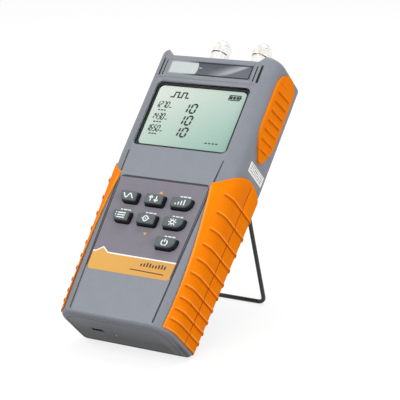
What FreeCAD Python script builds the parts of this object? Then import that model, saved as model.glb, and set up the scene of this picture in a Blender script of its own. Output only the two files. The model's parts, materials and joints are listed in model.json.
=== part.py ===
"""Hand-held optical power meter leaning on its wire bail.

The instrument is modelled lying flat: X runs across the case, Y up its length
from the lower end, and Z out of the face, whose surface is at Z = 0. Every
sub-part is then leaned back by one placement, so that the lower rear edge of
the case and the foot of the wire bail stand on the floor. Millimetres.
"""
import FreeCAD
import Part
import Sketcher
import math
import os
import re

from FreeCAD import Placement, Rotation, Vector

# Driving sizes: one spreadsheet cell each, in millimetres unless named otherwise.
SIZES = {
    # case
    "case_length": 171.5,
    "case_depth": 37.5,
    "half_width": 41.0,
    "foot_half_width": 36.3,
    "taper_length": 105.0,
    "front_radius": 12.0,
    "rear_radius": 4.0,
    "end_radius": 2.6,
    "horn_height": 5.4,
    "horn_root": 30.0,
    "horn_slope": 4.5,
    "horn_radius": 2.0,
    "wall": 2.2,
    "foot_wall": 3.4,
    "top_wall": 3.0,
    "parting_depth": 21.5,
    "panel_gap": 0.15,
    # soft grips on the lower half and leaf-shaped pads on the upper half
    "grip_proud": 0.9,
    "grip_seat": 0.8,
    "grip_start": 2.6,
    "grip_crown_drop": 1.4,
    "grip_crown": "=taper_length - grip_crown_drop",
    "grip_front_drop": 17.0,
    "grip_front_end": "=taper_length - grip_front_drop",
    "grip_rear_drop": 9.0,
    "grip_rear_end": "=taper_length - grip_rear_drop",
    "grip_edge_foot": 32.6,
    "grip_edge_middle": 33.6,
    "grip_edge_top": 30.2,
    "seam_depth_line": 22.0,
    "seam_width": 0.5,
    "seam_foot": 9.0,
    "rib_count": 10.0,
    "rib_first_drop": 18.6,
    "rib_first": "=taper_length - rib_first_drop",
    "rib_pitch": 11.3,
    "rib_pitch_ratio": 0.93,
    "rib_width": 1.2,
    "rib_height": 0.6,
    "rib_front_line": 3.4,
    "pad_tip_rise": 9.3,
    "pad_tip": "=taper_length + pad_tip_rise",
    "pad_tip_depth": 20.8,
    "pad_shoulder_rise": 13.7,
    "pad_shoulder": "=pad_tip + pad_shoulder_rise",
    "pad_front_line": 8.9,
    "pad_top": 174.4,
    "pad_rear_line": 30.2,
    "pad_rear_shoulder_rise": 15.6,
    "pad_rear_shoulder": "=pad_tip + pad_rear_shoulder_rise",
    "pad_tip_radius": 3.0,
    "pad_side_radius": 20.0,
    "pad_top_front_radius": 12.0,
    "pad_top_rear_radius": 8.5,
    "pad_rib_count": 8.0,
    "pad_rib_first": 163.5,
    "pad_rib_pitch": 6.2,
    "pad_rib_width": 1.0,
    "pad_rib_margin": 3.2,
    "pad_rib_slant": 8.4,
    # display
    "display_half_width": 31.3,
    "display_low_rise": 4.1,
    "display_low": "=taper_length + display_low_rise",
    "display_high": 153.7,
    "display_radius": 3.5,
    "window_inset": 0.9,
    "window_thickness": 1.0,
    "mask_border": 2.0,
    "brow_height": 2.7,
    "brow_depth": 0.5,
    "lcd_thickness": 2.6,
    # name strip with the short grooves beside it, and the long face grooves
    "name_half_width": 27.6,
    "name_low": 158.8,
    "name_high": 168.3,
    "name_recess": 0.9,
    "name_thickness": 0.7,
    "name_radius": 0.8,
    "groove_width": 0.7,
    "groove_depth": 0.5,
    "groove_inset": 10.1,
    "groove_foot": 3.2,
    "short_groove_inner": 30.2,
    "short_groove_pitch": 2.6,
    "short_groove_depth": 1.3,
    # keypad
    "keypad_low": 28.1,
    "keypad_high": 88.8,
    "keypad_half_low": 27.3,
    "keypad_half_high": 29.7,
    "keypad_recess": 0.8,
    "keypad_radius": 3.0,
    "overlay_thickness": 0.6,
    "key_height": 7.2,
    "key_row_top": 74.3,
    "key_row_pitch": 12.65,
    "key_left": -17.0,
    "key_middle": -0.2,
    "key_right": 17.3,
    "key_left_width": 11.6,
    "key_middle_width": 12.4,
    "key_right_width": 13.2,
    "key_proud": 3.4,
    "key_gap": 0.3,
    "key_radius": 1.2,
    "key_cut_radius": 4.6,
    "key_edge_radius": 0.5,
    "key_flange": 0.8,
    "key_flange_margin": 0.9,
    "key_play": 0.1,
    "key_travel": 1.0,
    "switch_width": 4.5,
    "switch_height": 3.4,
    "switch_base_height": 2.38,
    "switch_room": 0.1,
    # backlight and boards
    "backlight_rim": 0.6,
    "board_half_width": 32.0,
    "board_low": 20.0,
    "board_high": 157.0,
    "board_thickness": 1.6,
    "post_radius": 3.0,
    "post_side": 30.0,
    "post_low": 40.0,
    "post_high": 140.0,
    # battery compartment
    "cell_radius": 7.1,
    "cell_length": 49.3,
    "cell_cap_radius": 2.7,
    "cell_cap_length": 1.2,
    "cell_pitch": 14.5,
    "cell_room": 0.3,
    "bay_low": 35.0,
    "bay_length": 56.5,
    "bay_half_width": 22.2,
    "bay_wall": 1.8,
    "bay_roof": 1.8,
    "contact_thickness": 0.4,
    "contact_width": 9.0,
    "spring_radius": 3.2,
    "cover_half_width": 24.0,
    "cover_bed_rim": 1.5,
    "cover_low": 32.2,
    "cover_high": 102.0,
    "cover_thickness": 2.0,
    "cover_radius": 2.5,
    "cover_grips": 4.0,
    "cover_grip_pitch": 3.0,
    "cover_screw_place": 97.0,
    # wire bail
    "wire_radius": 1.3,
    "bail_half_width": 27.4,
    "bail_pivot": 110.2,
    "bail_pivot_depth": 35.5,
    "bail_leg": 83.1,
    "bail_pin_end": 22.6,
    "bail_bend": 4.0,
    "bail_pin_bend": 1.6,
    "bail_finger_room": 2.0,
    "bail_open_angle": 60.7,
    "bail_clearance": 0.35,
    "pin_clearance": 0.06,
    "bail_bed": 1.9,
    "ear_length": 12.0,
    # screws
    "screw_radius": 1.3,
    "screw_head_radius": 2.6,
    "screw_head_height": 1.8,
    "screw_sink": 0.6,
    "thread_depth": 14.0,
    "screw_length": 20.0,
    "cover_screw_length": 7.0,
    "cover_screw_head": 1.0,
    "screw_slot": 0.6,
    "screw_end_room": 1.5,
    "boss_radius": 3.6,
    "screw_high_side": 27.0,
    "screw_high_place": 163.0,
    "screw_low_side": 28.5,
    "screw_low_place": 12.5,
    # top panel and optical ports
    "top_panel_half_width": 27.0,
    "top_panel_front": 5.5,
    "top_panel_rear": 33.5,
    "top_panel_thickness": 1.6,
    "top_panel_ledge": 2.0,
    "port_side": 14.0,
    "port_depth": 25.0,
    "port_flange_width": 17.0,
    "port_flange_depth": 10.0,
    "port_flange_height": 1.6,
    "port_flange_flat": 0.2,
    "port_screw_side": 6.4,
    "port_barrel_radius": 4.0,
    "port_barrel_height": 11.0,
    "port_collar_radius": 4.8,
    "port_collar_height": 1.6,
    "port_sleeve_radius": 1.26,
    "port_tail_radius": 3.5,
    "port_tail_length": 9.0,
    "detector_radius": 4.6,
    "detector_length": 6.0,
    "port_screw_radius": 1.0,
    "port_screw_head": 1.5,
    "cap_height": 23.9,
    "cap_skirt_radius": 5.2,
    "cap_skirt_height": 14.8,
    "cap_ring_radius": 5.9,
    "cap_ring_height": 5.2,
    "cap_top_radius": 3.4,
    "cap_crown_radius": 0.7,
    "cap_fit": 0.08,
    # lower end: panel, charging socket, lamp and the small board that carries them
    "end_inset": 4.0,
    "end_panel_thickness": 1.6,
    "end_panel_ledge": 2.0,
    "end_panel_radius": 5.0,
    "end_panel_front_radius": 8.5,
    "socket_side": -16.7,
    "socket_depth": 18.7,
    "socket_width": 7.5,
    "socket_height": 3.0,
    "socket_shell": 0.35,
    "socket_length": 8.0,
    "socket_gap": 0.25,
    "lamp_side": -5.9,
    "lamp_depth": 22.0,
    "lamp_radius": 1.1,
    "lamp_gap": 0.2,
    "lamp_block": 3.2,
    "lamp_block_length": 5.0,
    "port_board_left": -24.0,
    "port_board_right": -2.0,
    "port_board_length": 12.0,
    "port_board_thickness": 1.2,
    "port_post_radius": 2.0,
    # label on the right side wall
    "label_rise": 2.4,
    "label_low": "=taper_length + label_rise",
    "label_width": 6.5,
    "label_high": "=label_low + label_width",
    "label_front": 13.0,
    "label_rear": 32.3,
    "label_thickness": 0.15,
    # cutting tools: how far they reach from the middle, and past the piece they cut
    "tool_reach": 60.0,
    "tool_spare": 20.0,
}

doc = FreeCAD.newDocument("OpticalPowerMeter")
sheet = doc.addObject("Spreadsheet::Sheet", "Sizes")
for row, (alias, number) in enumerate(SIZES.items(), start=1):
    sheet.set(f"A{row}", alias.replace("_", " "))
    sheet.set(f"B{row}", str(number))
    sheet.setAlias(f"B{row}", alias)
doc.recompute()

PARTS = {}


def size(alias):
    """Number held by one cell of the sheet."""
    return float(sheet.get(alias))


def rule(text):
    """Expression with each size written as a reference to its cell."""
    return re.sub(
        r"[a-z]\w*", lambda word: f"Sizes.{word.group()}" if word.group() in SIZES else word.group(),
        text,
    )


def bind(item, **rules):
    """Bind properties of an object to expressions; a double underscore stands for a dot."""
    for name, text in rules.items():
        item.setExpression(name.replace("__", "."), rule(text))
    return item


# ---------------------------------------------------------------- building blocks


def box(name, low, high):
    """Box between two corners, each given as three expressions."""
    item = doc.addObject("Part::Box", name)
    bind(
        item, Length=f"({high[0]}) - ({low[0]})", Width=f"({high[1]}) - ({low[1]})",
        Height=f"({high[2]}) - ({low[2]})",
    )
    return bind(item, Placement__Base__x=low[0], Placement__Base__y=low[1], Placement__Base__z=low[2])


AXIS_TURNS = {
    "x": Rotation(Vector(0, 1, 0), 90),
    "y": Rotation(Vector(1, 0, 0), -90),
    "z": Rotation(),
}


def rod(name, axis, start, radius, length):
    """Cylinder from a start point along +X, +Y or +Z."""
    item = doc.addObject("Part::Cylinder", name)
    item.Placement.Rotation = AXIS_TURNS[axis]
    bind(item, Radius=radius, Height=length)
    return bind(item, Placement__Base__x=start[0], Placement__Base__y=start[1], Placement__Base__z=start[2])


def cut(name, base, *tools):
    """Base with every tool taken away."""
    item = doc.addObject("Part::Cut", name)
    item.Base = base
    item.Tool = tools[0] if len(tools) == 1 else fuse(f"{name}_tools", *tools)
    return item


def fuse(name, *pieces):
    """All pieces as one."""
    item = doc.addObject("Part::MultiFuse", name)
    item.Shapes = list(pieces)
    item.Refine = True
    return item


def common(name, first, second):
    """What two pieces share."""
    item = doc.addObject("Part::Common", name)
    item.Base = first
    item.Tool = second
    return item


def mirrored(name, source):
    """Copy of a piece on the other side of the case's middle plane."""
    item = doc.addObject("Part::Mirroring", name)
    item.Source = source
    item.Normal = Vector(1, 0, 0)
    return item


def origin_plane(body, role):
    """One of a body's own origin planes."""
    return next(item for item in body.Origin.OriginFeatures if item.Role == role)


def outline_sketch(body, name, role, corners, offset):
    """Closed straight-sided sketch whose corners are bound to expressions."""
    sketch = body.newObject("Sketcher::SketchObject", name)
    sketch.AttachmentSupport = [(origin_plane(body, role), "")]
    sketch.MapMode = "FlatFace"
    count = len(corners)
    # Any convex stand-in does for a start: the constraints carry the real corners.
    spots = [
        Vector(math.cos(math.tau * turn / count), math.sin(math.tau * turn / count), 0)
        for turn in range(count)
    ]
    for turn in range(count):
        sketch.addGeometry(Part.LineSegment(spots[turn], spots[(turn + 1) % count]), False)
    for turn in range(count):
        sketch.addConstraint(Sketcher.Constraint("Coincident", turn, 2, (turn + 1) % count, 1))
    for turn, corner in enumerate(corners):
        for kind, text in zip(("DistanceX", "DistanceY"), corner):
            place = sketch.addConstraint(Sketcher.Constraint(kind, -1, 1, turn, 1, 1.0))
            sketch.setExpression(f"Constraints[{place}]", rule(text))
    sketch.setExpression("AttachmentOffset.Base.z", rule(offset))
    return sketch


FILLET = "PartDesign::Fillet"
CHAMFER = "PartDesign::Chamfer"


def round_edges(body, name, radius, chosen, kind=FILLET):
    """Fillet or chamfer the edges of a body's tip that pass the test."""
    doc.recompute()
    tip = body.Tip
    edges = [f"Edge{place}" for place, edge in enumerate(tip.Shape.Edges, start=1) if chosen(edge)]
    if not edges:
        raise ValueError(f"{name}: no edge to round")
    item = body.newObject(kind, name)
    item.Base = (tip, edges)
    bind(item, **{"Radius" if kind == FILLET else "Size": radius})
    doc.recompute()
    return item


def stands_on(point, direction):
    """Test for straight edges along a direction through a point."""

    def chosen(edge):
        ends = [vertex.Point - point for vertex in edge.Vertexes]
        return len(ends) == 2 and all(end.cross(direction).Length < 1e-4 for end in ends)

    return chosen


def slab(name, role, corners, start, thickness, radii=None):
    """Body padded from an outline; radii maps a radius to the corners that it rounds."""
    body = doc.addObject("PartDesign::Body", name)
    sketch = outline_sketch(body, f"{name}_outline", role, corners, start)
    pad = body.newObject("PartDesign::Pad", f"{name}_pad")
    pad.Profile = sketch
    bind(pad, Length=thickness)
    doc.recompute()
    normal = sketch.Placement.Rotation.multVec(Vector(0, 0, 1))
    points = [sketch.Placement.multVec(line.StartPoint) for line in sketch.Geometry]
    for radius, turns in (radii or {}).items():
        tests = [stands_on(points[turn], normal) for turn in turns]
        round_edges(body, f"{name}_{radius}", radius, lambda edge: any(test(edge) for test in tests))
    return body


def rectangle(low, high):
    """Corners of a rectangle between two points."""
    return [(low[0], low[1]), (high[0], low[1]), (high[0], high[1]), (low[0], high[1])]


def in_plane(axis, place):
    """Test for edges that lie in a plane across an axis."""
    return lambda edge: all(abs(getattr(vertex.Point, axis) - place) < 1e-3 for vertex in edge.Vertexes)


def runs_along(edge, axis):
    """Whether an edge runs roughly along an axis at its middle."""
    middle = (edge.FirstParameter + edge.LastParameter) / 2
    return abs(getattr(edge.tangentAt(middle), axis)) > 0.95


def sub_part(label, *pieces):
    """Finished piece, or a set of like pieces, under its own label and with a placement of its own."""
    item = doc.addObject("Part::Compound", label)
    item.Label = label
    item.Links = list(pieces)
    PARTS[label] = item


# ---------------------------------------------------------------- case

CASE_TOP = "case_length + horn_height"
FACE_INSIDE = "-wall"
REAR = "-case_depth"
REAR_INSIDE = "-case_depth + wall"
PARTING = "-parting_depth"


def side_at(place, grow="0"):
    """Half width of the case at a place along its length, below the end of the taper."""
    return f"foot_half_width + (half_width - foot_half_width) * ({place}) / taper_length + ({grow})"


def hull(name, grow, low, high, end_rounding=False):
    """Tapered case outline with a large front and a small rear corner, grown outwards by an amount."""
    foot = side_at(low, grow)
    side = f"half_width + ({grow})"
    corners = [
        (f"-({foot})", low),
        (foot, low),
        (side, "taper_length"),
        (side, high),
        (f"-({side})", high),
        (f"-({side})", "taper_length"),
    ]
    bottom = f"-case_depth - ({grow})"
    body = slab(name, "XY_Plane", corners, bottom, f"case_depth + 2 * ({grow})")
    box_of_body = body.Shape.BoundBox
    for face, place, radius in (
        ("front", box_of_body.ZMax, "front_radius"), ("rear", box_of_body.ZMin, "rear_radius"),
    ):
        lies = in_plane("z", place)
        round_edges(
            body, f"{name}_{face}_round", f"{radius} + ({grow})",
            lambda edge: lies(edge) and runs_along(edge, "y"),
        )
    if end_rounding:
        for end, place in (("foot", box_of_body.YMin), ("top", box_of_body.YMax)):
            round_edges(body, f"{name}_{end}_round", "end_radius", in_plane("y", place))
    return body


def screw_places():
    """The four case screws: side and place expressions."""
    for side in ("-", ""):
        yield f"{side}screw_high_side", "screw_high_place"
        yield f"{side}screw_low_side", "screw_low_place"


def key_grid():
    """Every key: name, column, row from the top and the outline corners that are cut round."""
    columns = ("left", "middle", "right")
    for row in range(3):
        for column in columns:
            if row < 2 or column == "right":
                cut_corner = {"left": 0, "middle": None, "right": 1}[column]
                yield f"key_{row + 1}_{column}", column, row, cut_corner


def key_corners(column, row, grow):
    """Corners of one key's outline, grown outwards."""
    middle = f"key_row_top - {row} * key_row_pitch"
    wide = f"key_{column}_width / 2 + ({grow})"
    tall = f"key_height / 2 + ({grow})"
    return rectangle(
        (f"key_{column} - ({wide})", f"{middle} - ({tall})"),
        (f"key_{column} + ({wide})", f"{middle} + ({tall})"),
    )


def key_radii(cut_corner, grow):
    """Corner radii of a key outline: one big lower corner on the outer columns."""
    plain = tuple(turn for turn in range(4) if turn != cut_corner)
    radii = {f"key_radius + ({grow})": plain}
    if cut_corner is not None:
        radii[f"key_cut_radius + ({grow})"] = (cut_corner,)
    return radii


def keypad_corners(grow):
    """Corners of the keypad field, which widens with the case."""
    return [
        (f"-keypad_half_low - ({grow})", f"keypad_low - ({grow})"),
        (f"keypad_half_low + ({grow})", f"keypad_low - ({grow})"),
        (f"keypad_half_high + ({grow})", f"keypad_high + ({grow})"),
        (f"-keypad_half_high - ({grow})", f"keypad_high + ({grow})"),
    ]


def end_panel_corners(grow):
    """Corners of the lower end panel, seen along the case."""
    return rectangle(
        (f"-foot_half_width + end_inset - ({grow})", f"{REAR} + end_inset - ({grow})"),
        (f"foot_half_width - end_inset + ({grow})", f"-end_inset + ({grow})"),
    )


def horn_notch():
    """Space between the two horns that rise beside the top panel."""
    corners = [
        ("-horn_root", "case_length"),
        ("horn_root", "case_length"),
        ("horn_root + horn_slope", f"{CASE_TOP} + 1"),
        ("-horn_root - horn_slope", f"{CASE_TOP} + 1"),
    ]
    return slab("horn_notch", "XY_Plane", corners, f"{REAR} - 5", "case_depth + 10", {"horn_radius": (0, 1)})


outer = hull("outer_form", "0", "0", CASE_TOP, end_rounding=True)
cavity = hull("cavity_form", "-wall", "foot_wall", "case_length - top_wall")
top_opening = box(
    "top_opening",
    (
        "-top_panel_half_width + top_panel_ledge", "case_length - 2 * top_wall",
        "-top_panel_rear + top_panel_ledge",
    ),
    ("top_panel_half_width - top_panel_ledge", f"{CASE_TOP}", "-top_panel_front - top_panel_ledge"),
)
top_recess = box(
    "top_recess",
    (
        "-top_panel_half_width - panel_gap", "case_length - top_panel_thickness",
        "-top_panel_rear - panel_gap",
    ),
    ("top_panel_half_width + panel_gap", f"{CASE_TOP}", "-top_panel_front + panel_gap"),
)
end_recess = slab(
    "end_recess", "XZ_Plane", end_panel_corners(
        "panel_gap"
    ), "-end_panel_thickness", "end_panel_thickness + 1",
    {"end_panel_radius + panel_gap": (0, 1), "end_panel_front_radius + panel_gap": (2, 3)},
)
end_window = slab(
    "end_window", "XZ_Plane", end_panel_corners("-end_panel_ledge"), "-foot_wall - 1", "foot_wall + 2",
    {"end_panel_radius - end_panel_ledge": (0, 1), "end_panel_front_radius - end_panel_ledge": (2, 3)},
)
hollow_case = cut(
    "hollow_case", outer, cavity, horn_notch(), top_opening, top_recess, end_recess, end_window,
)


# ---------------------------------------------------------------- grips and side pads

skin = hull("skin_form", "grip_proud", "-5", f"{CASE_TOP} + 5")
seat = hull("seat_form", "-grip_seat", "-6", f"{CASE_TOP} + 6")
rib_skin = hull("rib_skin_form", "grip_proud + rib_height", "-5", f"{CASE_TOP} + 5")


def arc_slab(name, role, sketch_points, start, thickness):
    """Pad of an outline closed by one three-point arc; the first three points carry the arc."""
    body = doc.addObject("PartDesign::Body", name)
    sketch = body.newObject("Sketcher::SketchObject", f"{name}_outline")
    sketch.AttachmentSupport = [(origin_plane(body, role), "")]
    sketch.MapMode = "FlatFace"
    first, middle, last, *rest = [Vector(x, y, 0) for x, y in sketch_points]
    sketch.addGeometry(Part.Arc(first, middle, last), False)
    ring = [last, *rest, first]
    for begin, end in zip(ring, ring[1:]):
        sketch.addGeometry(Part.LineSegment(begin, end), False)
    bind(sketch, AttachmentOffset__Base__z=start)
    pad = body.newObject("PartDesign::Pad", f"{name}_pad")
    pad.Profile = sketch
    bind(pad, Length=thickness)
    doc.recompute()
    return body


spare = size("tool_spare")
reach = size("case_depth") + spare
grip_side = arc_slab(
    "grip_side", "YZ_Plane",
    [
        (size("grip_front_end"), size("grip_proud")),
        (size("grip_crown"), -size("seam_depth_line")),
        (size("grip_rear_end"), -size("case_depth") - size("grip_proud")),
        (size("grip_rear_end"), -reach),
        (size("grip_start"), -reach),
        (size("grip_start"), spare),
        (size("grip_front_end"), spare),
    ],
    "foot_half_width / 2", "tool_reach",
)
grip_plan = arc_slab(
    "grip_plan", "XY_Plane",
    [
        (size("grip_edge_foot"), size("grip_start")),
        (size("grip_edge_middle"), size("grip_front_end") / 2),
        (size("grip_edge_top"), size("grip_front_end")),
        (size("grip_edge_top"), size("taper_length") + spare),
        (size("half_width") + spare, size("taper_length") + spare),
        (size("half_width") + spare, size("grip_start")),
    ],
    "-case_depth - tool_spare", "case_depth + 2 * tool_spare",
)
grip_tool = common("grip_tool", grip_side, grip_plan)
grip_blank = cut("grip_blank", common("grip_stock", skin, grip_tool), seat)

seam = common(
    "grip_seam", cut("skin_shell", skin, outer),
    box(
        "seam_slot", ("foot_half_width / 2", "seam_foot", "-seam_depth_line - seam_width / 2"),
        ("tool_reach", "grip_crown + 5", "-seam_depth_line + seam_width / 2"),
    ),
)


def rib_slats():
    """Slats across the grip; their pitch shrinks towards the foot."""
    place = size("rib_first")
    pitch = size("rib_pitch")
    slats = []
    for turn in range(int(size("rib_count"))):
        slats.append(
            box(
                f"rib_slat_{turn + 1}", (
                    "foot_half_width - 5", f"{place} - rib_width / 2", "-case_depth - 5",
                ),
                ("tool_reach", f"{place} + rib_width / 2", "-rib_front_line"),
            )
        )
        place -= pitch
        pitch *= size("rib_pitch_ratio")
    return fuse("rib_slats", *slats)


grip_ribs = cut(
    "grip_ribs", common("rib_stock", rib_skin, common("ribs_inside", rib_slats(), grip_tool)), outer,
)
grip = cut("grip_body", fuse("grip_with_ribs", grip_blank, grip_ribs), seam)
sub_part("right_grip", grip)
sub_part("left_grip", mirrored("grip_mirror", grip))


def pad_corners(inset="0"):
    """Leaf outline on the side wall, drawn along the case and down its depth.

    The inset at the narrow tip counts one and a half times, because its two sides meet there.
    """
    return [
        (f"pad_tip + 1.5 * ({inset})", "-pad_tip_depth"),
        (f"pad_shoulder + ({inset})", f"-pad_front_line - ({inset})"),
        (f"pad_top - ({inset})", f"-pad_front_line - ({inset})"),
        (f"pad_top - ({inset})", f"-pad_rear_line + ({inset})"),
        (f"pad_rear_shoulder + ({inset})", f"-pad_rear_line + ({inset})"),
    ]


pad_tool = slab(
    "pad_tool", "YZ_Plane", pad_corners(), "foot_half_width / 2", "tool_reach",
    {
        "pad_tip_radius": (0,),
        "pad_side_radius": (1, 4),
        "pad_top_front_radius": (2,),
        "pad_top_rear_radius": (3,),
    },
)
pad_blank = cut("pad_blank", common("pad_stock", skin, pad_tool), seat)


def pad_slats():
    """Short slanting slats along the middle of the leaf."""
    slats = []
    for turn in range(int(size("pad_rib_count"))):
        slat = box(
            f"pad_slat_{turn + 1}", (
                "foot_half_width", f"pad_rib_first - {turn} * pad_rib_pitch", "-case_depth",
            ),
            ("tool_reach", f"pad_rib_first - {turn} * pad_rib_pitch + pad_rib_width", "0"),
        )
        slat.Placement.Rotation = Rotation(Vector(1, 0, 0), size("pad_rib_slant"))
        slats.append(slat)
    return fuse("pad_slats", *slats)


pad_inner_tool = slab(
    "pad_inner_tool", "YZ_Plane", pad_corners("pad_rib_margin"), "foot_half_width / 2", "tool_reach",
)
pad_ribs = cut(
    "pad_ribs",
    common("pad_rib_stock", rib_skin, common("pad_ribs_inside", pad_slats(), pad_inner_tool)), outer,
)
side_pad = fuse("pad_body", pad_blank, pad_ribs)
sub_part("right_side_pad", side_pad)
sub_part("left_side_pad", mirrored("pad_mirror", side_pad))
side_seats = [
    grip_blank, mirrored("grip_blank_mirror", grip_blank), pad_blank,
    mirrored("pad_blank_mirror", pad_blank),
]


# ---------------------------------------------------------------- front shell


def display_plate(name, grow, start, thickness):
    """Rounded plate in the display opening, grown outwards by an amount."""
    low = (f"-display_half_width - ({grow})", f"display_low - ({grow})")
    high = (f"display_half_width + ({grow})", f"display_high + ({grow})")
    return slab(
        name, "XY_Plane", rectangle(low, high), start, thickness,
        {f"display_radius + ({grow})": (0, 1, 2, 3)},
    )


def name_plate(name, grow, start, thickness):
    """Rounded strip between the short grooves."""
    low = (f"-name_half_width - ({grow})", f"name_low - ({grow})")
    high = (f"name_half_width + ({grow})", f"name_high + ({grow})")
    return slab(
        name, "XY_Plane", rectangle(low, high), start, thickness,
        {f"name_radius + ({grow})": (0, 1, 2, 3)},
    )


def face_grooves():
    """Two long grooves beside the keypad and two pairs of short ones beside the name strip."""
    length = size("taper_length") - size("groove_foot")
    lean = math.degrees(math.atan((size("half_width") - size("foot_half_width")) / size("taper_length")))
    grooves = []
    for side, sign in (("left", -1), ("right", 1)):
        long_groove = box(
            f"long_groove_{side}", ("0", "0", "0"), ("groove_width", f"{length}", "groove_depth + 1"),
        )
        edge = side_at("groove_foot", "-groove_inset")
        start = edge if sign > 0 else f"-({edge}) - groove_width"
        bind(
            long_groove, Placement__Base__x=start, Placement__Base__y="groove_foot",
            Placement__Base__z="-groove_depth",
        )
        long_groove.Placement.Rotation = Rotation(Vector(0, 0, 1), -sign * lean)
        grooves.append(long_groove)
        for turn in range(2):
            middle = f"{sign} * (short_groove_inner + {turn} * short_groove_pitch)"
            grooves.append(
                box(
                    f"short_groove_{side}_{turn + 1}", (
                        f"{middle} - groove_width / 2", "name_low - 1", "-short_groove_depth",
                    ),
                    (f"{middle} + groove_width / 2", "name_high", "1"),
                )
            )
    return grooves


def front_bosses():
    """Bosses for the case screws and posts for the small port board."""
    bosses = []
    for turn, (side, place) in enumerate(screw_places(), start=1):
        bosses.append(
            rod(
                f"front_boss_{turn}", "z", (side, place, PARTING), "boss_radius",
                "parting_depth - wall / 2",
            )
        )
    for turn, side in enumerate(("port_board_left", "port_board_right"), start=1):
        inward = "+" if turn == 1 else "-"
        centre = f"{side} {inward} port_post_radius"
        bosses.append(
            rod(
                f"port_post_{turn}", "z", (
                    centre, "foot_wall + port_board_length - port_post_radius", PORT_BOARD_TOP,
                ),
                "port_post_radius", f"-({PORT_BOARD_TOP}) - wall / 2",
            )
        )
    return bosses


SOCKET_TOP = "-socket_depth + socket_height / 2"
PORT_BOARD_TOP = f"{SOCKET_TOP} + port_board_thickness"

front_cuts = [display_plate("display_opening", "0", "-wall - 1", "wall + 2")]
front_cuts.append(
    slab(
        "display_brow", "XY_Plane",
        rectangle(
            ("-display_half_width - 1", "display_high - display_radius"),
            ("display_half_width + 1", "display_high + brow_height"),
        ),
        "-brow_depth", "brow_depth + 1", {"brow_height / 2": (2, 3)},
    )
)
front_cuts.append(name_plate("name_recess_form", "panel_gap", "-name_recess", "name_recess + 1"))
front_cuts.append(
    slab(
        "keypad_recess_form", "XY_Plane", keypad_corners("panel_gap"), "-keypad_recess", "keypad_recess + 1",
        {"keypad_radius + panel_gap": (0, 1, 2, 3)},
    )
)
for key, column, row, cut_corner in key_grid():
    front_cuts.append(
        slab(
            f"{key}_hole", "XY_Plane", key_corners(column, row, "key_gap"), "-wall - 1", "wall + 2",
            key_radii(cut_corner, "key_gap"),
        )
    )
front_cuts += face_grooves()
for turn, (side, place) in enumerate(screw_places(), start=1):
    front_cuts.append(
        rod(
            f"front_thread_{turn}", "z", (side, place, f"{PARTING} - 1"), "screw_radius",
            "thread_depth + 1",
        )
    )

front_block = box(
    "front_block", ("-tool_reach", "-tool_spare", PARTING),
    ("tool_reach", f"{CASE_TOP} + tool_spare", "tool_spare"),
)
middle_of_wall = hull("middle_form", "-wall / 2", "foot_wall / 2", "case_length - top_wall / 2")
bosses_inside = common("front_bosses_inside", middle_of_wall, fuse("front_bosses", *front_bosses()))
front_stock = fuse("front_stock", common("front_half", hollow_case, front_block), bosses_inside)
sub_part("front_shell", cut("front_body", front_stock, *front_cuts, *side_seats))


# ---------------------------------------------------------------- rear shell with battery bay and bail bed

BAY_HIGH = "bay_low + bay_length"
COVER_SEAT = f"{REAR} + cover_thickness"
BAY_ROOF = f"{COVER_SEAT} + 2 * cell_radius + 1"
BED_DEPTH = "-bail_pivot_depth + wire_radius + bail_clearance"
BED_INSIDE = f"{BED_DEPTH} + bail_bed"
BED_SIDE = "(wire_radius + bail_clearance)"
BAIL_FOOT = "bail_pivot - bail_leg"
BOARD_FACE = "-wall - key_flange - key_play - key_travel - switch_room - switch_height"
BOARD_BACK = f"{BOARD_FACE} - board_thickness"


def strip(name, low, high, floor, ceiling):
    """Box on the rear wall from a floor to a ceiling depth."""
    return box(name, (low[0], low[1], floor), (high[0], high[1], ceiling))


def rear_additions():
    """Thickened walls inside the rear shell: bay, bail bed, board posts and screw bosses."""
    inner = f"{REAR} + wall / 2"
    wall_out = "bay_half_width + bay_wall"
    items = [
        strip(
            "bay_block", (f"-({wall_out})", "bay_low - bay_wall"), (wall_out, f"{BAY_HIGH} + bay_wall"),
            inner, f"{BAY_ROOF} + bay_roof",
        )
    ]
    items.append(
        strip(
            "cover_bed", ("-cover_half_width - cover_bed_rim", "cover_low - cover_bed_rim"),
            ("cover_half_width + cover_bed_rim", "cover_high + cover_bed_rim"), inner,
            f"{COVER_SEAT} + wall",
        )
    )
    outer_side = f"bail_half_width + {BED_SIDE} + bail_bed"
    inner_side = f"bail_half_width - {BED_SIDE} - bail_bed"
    items.append(
        strip(
            "foot_bed", (f"-({outer_side})", f"{BAIL_FOOT} - {BED_SIDE} - bail_bed"),
            (outer_side, f"{BAIL_FOOT} + {BED_SIDE} + bail_bed"), inner, BED_INSIDE,
        )
    )
    for side, sign in (("left", -1), ("right", 1)):
        low_x, high_x = (f"-({outer_side})", f"-({inner_side})") if sign < 0 else (inner_side, outer_side)
        items.append(
            strip(
                f"leg_bed_{side}", (low_x, BAIL_FOOT), (high_x, f"bail_pivot + {BED_SIDE} + bail_bed"),
                inner, BED_INSIDE,
            )
        )
        ear_in = "bail_pin_end - bail_bed"
        low_x, high_x = (f"-({outer_side})", f"-({ear_in})") if sign < 0 else (ear_in, outer_side)
        items.append(
            strip(
                f"ear_{side}", (low_x, "bail_pivot - ear_length / 2"),
                (high_x, "bail_pivot + ear_length / 2"), inner, BED_INSIDE,
            )
        )
        for level in ("low", "high"):
            items.append(
                rod(
                    f"board_post_{side}_{level}", "z", (f"{sign} * post_side", f"post_{level}", inner),
                    "post_radius", f"{BOARD_BACK} - ({inner})",
                )
            )
    for turn, (side, place) in enumerate(screw_places(), start=1):
        items.append(
            rod(f"rear_boss_{turn}", "z", (side, place, inner), "boss_radius", f"{PARTING} - ({inner})")
        )
    items.append(
        rod(
            "cover_boss", "z", ("0", "cover_screw_place", inner), "boss_radius",
            "wall + cover_screw_length",
        )
    )
    return items


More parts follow.
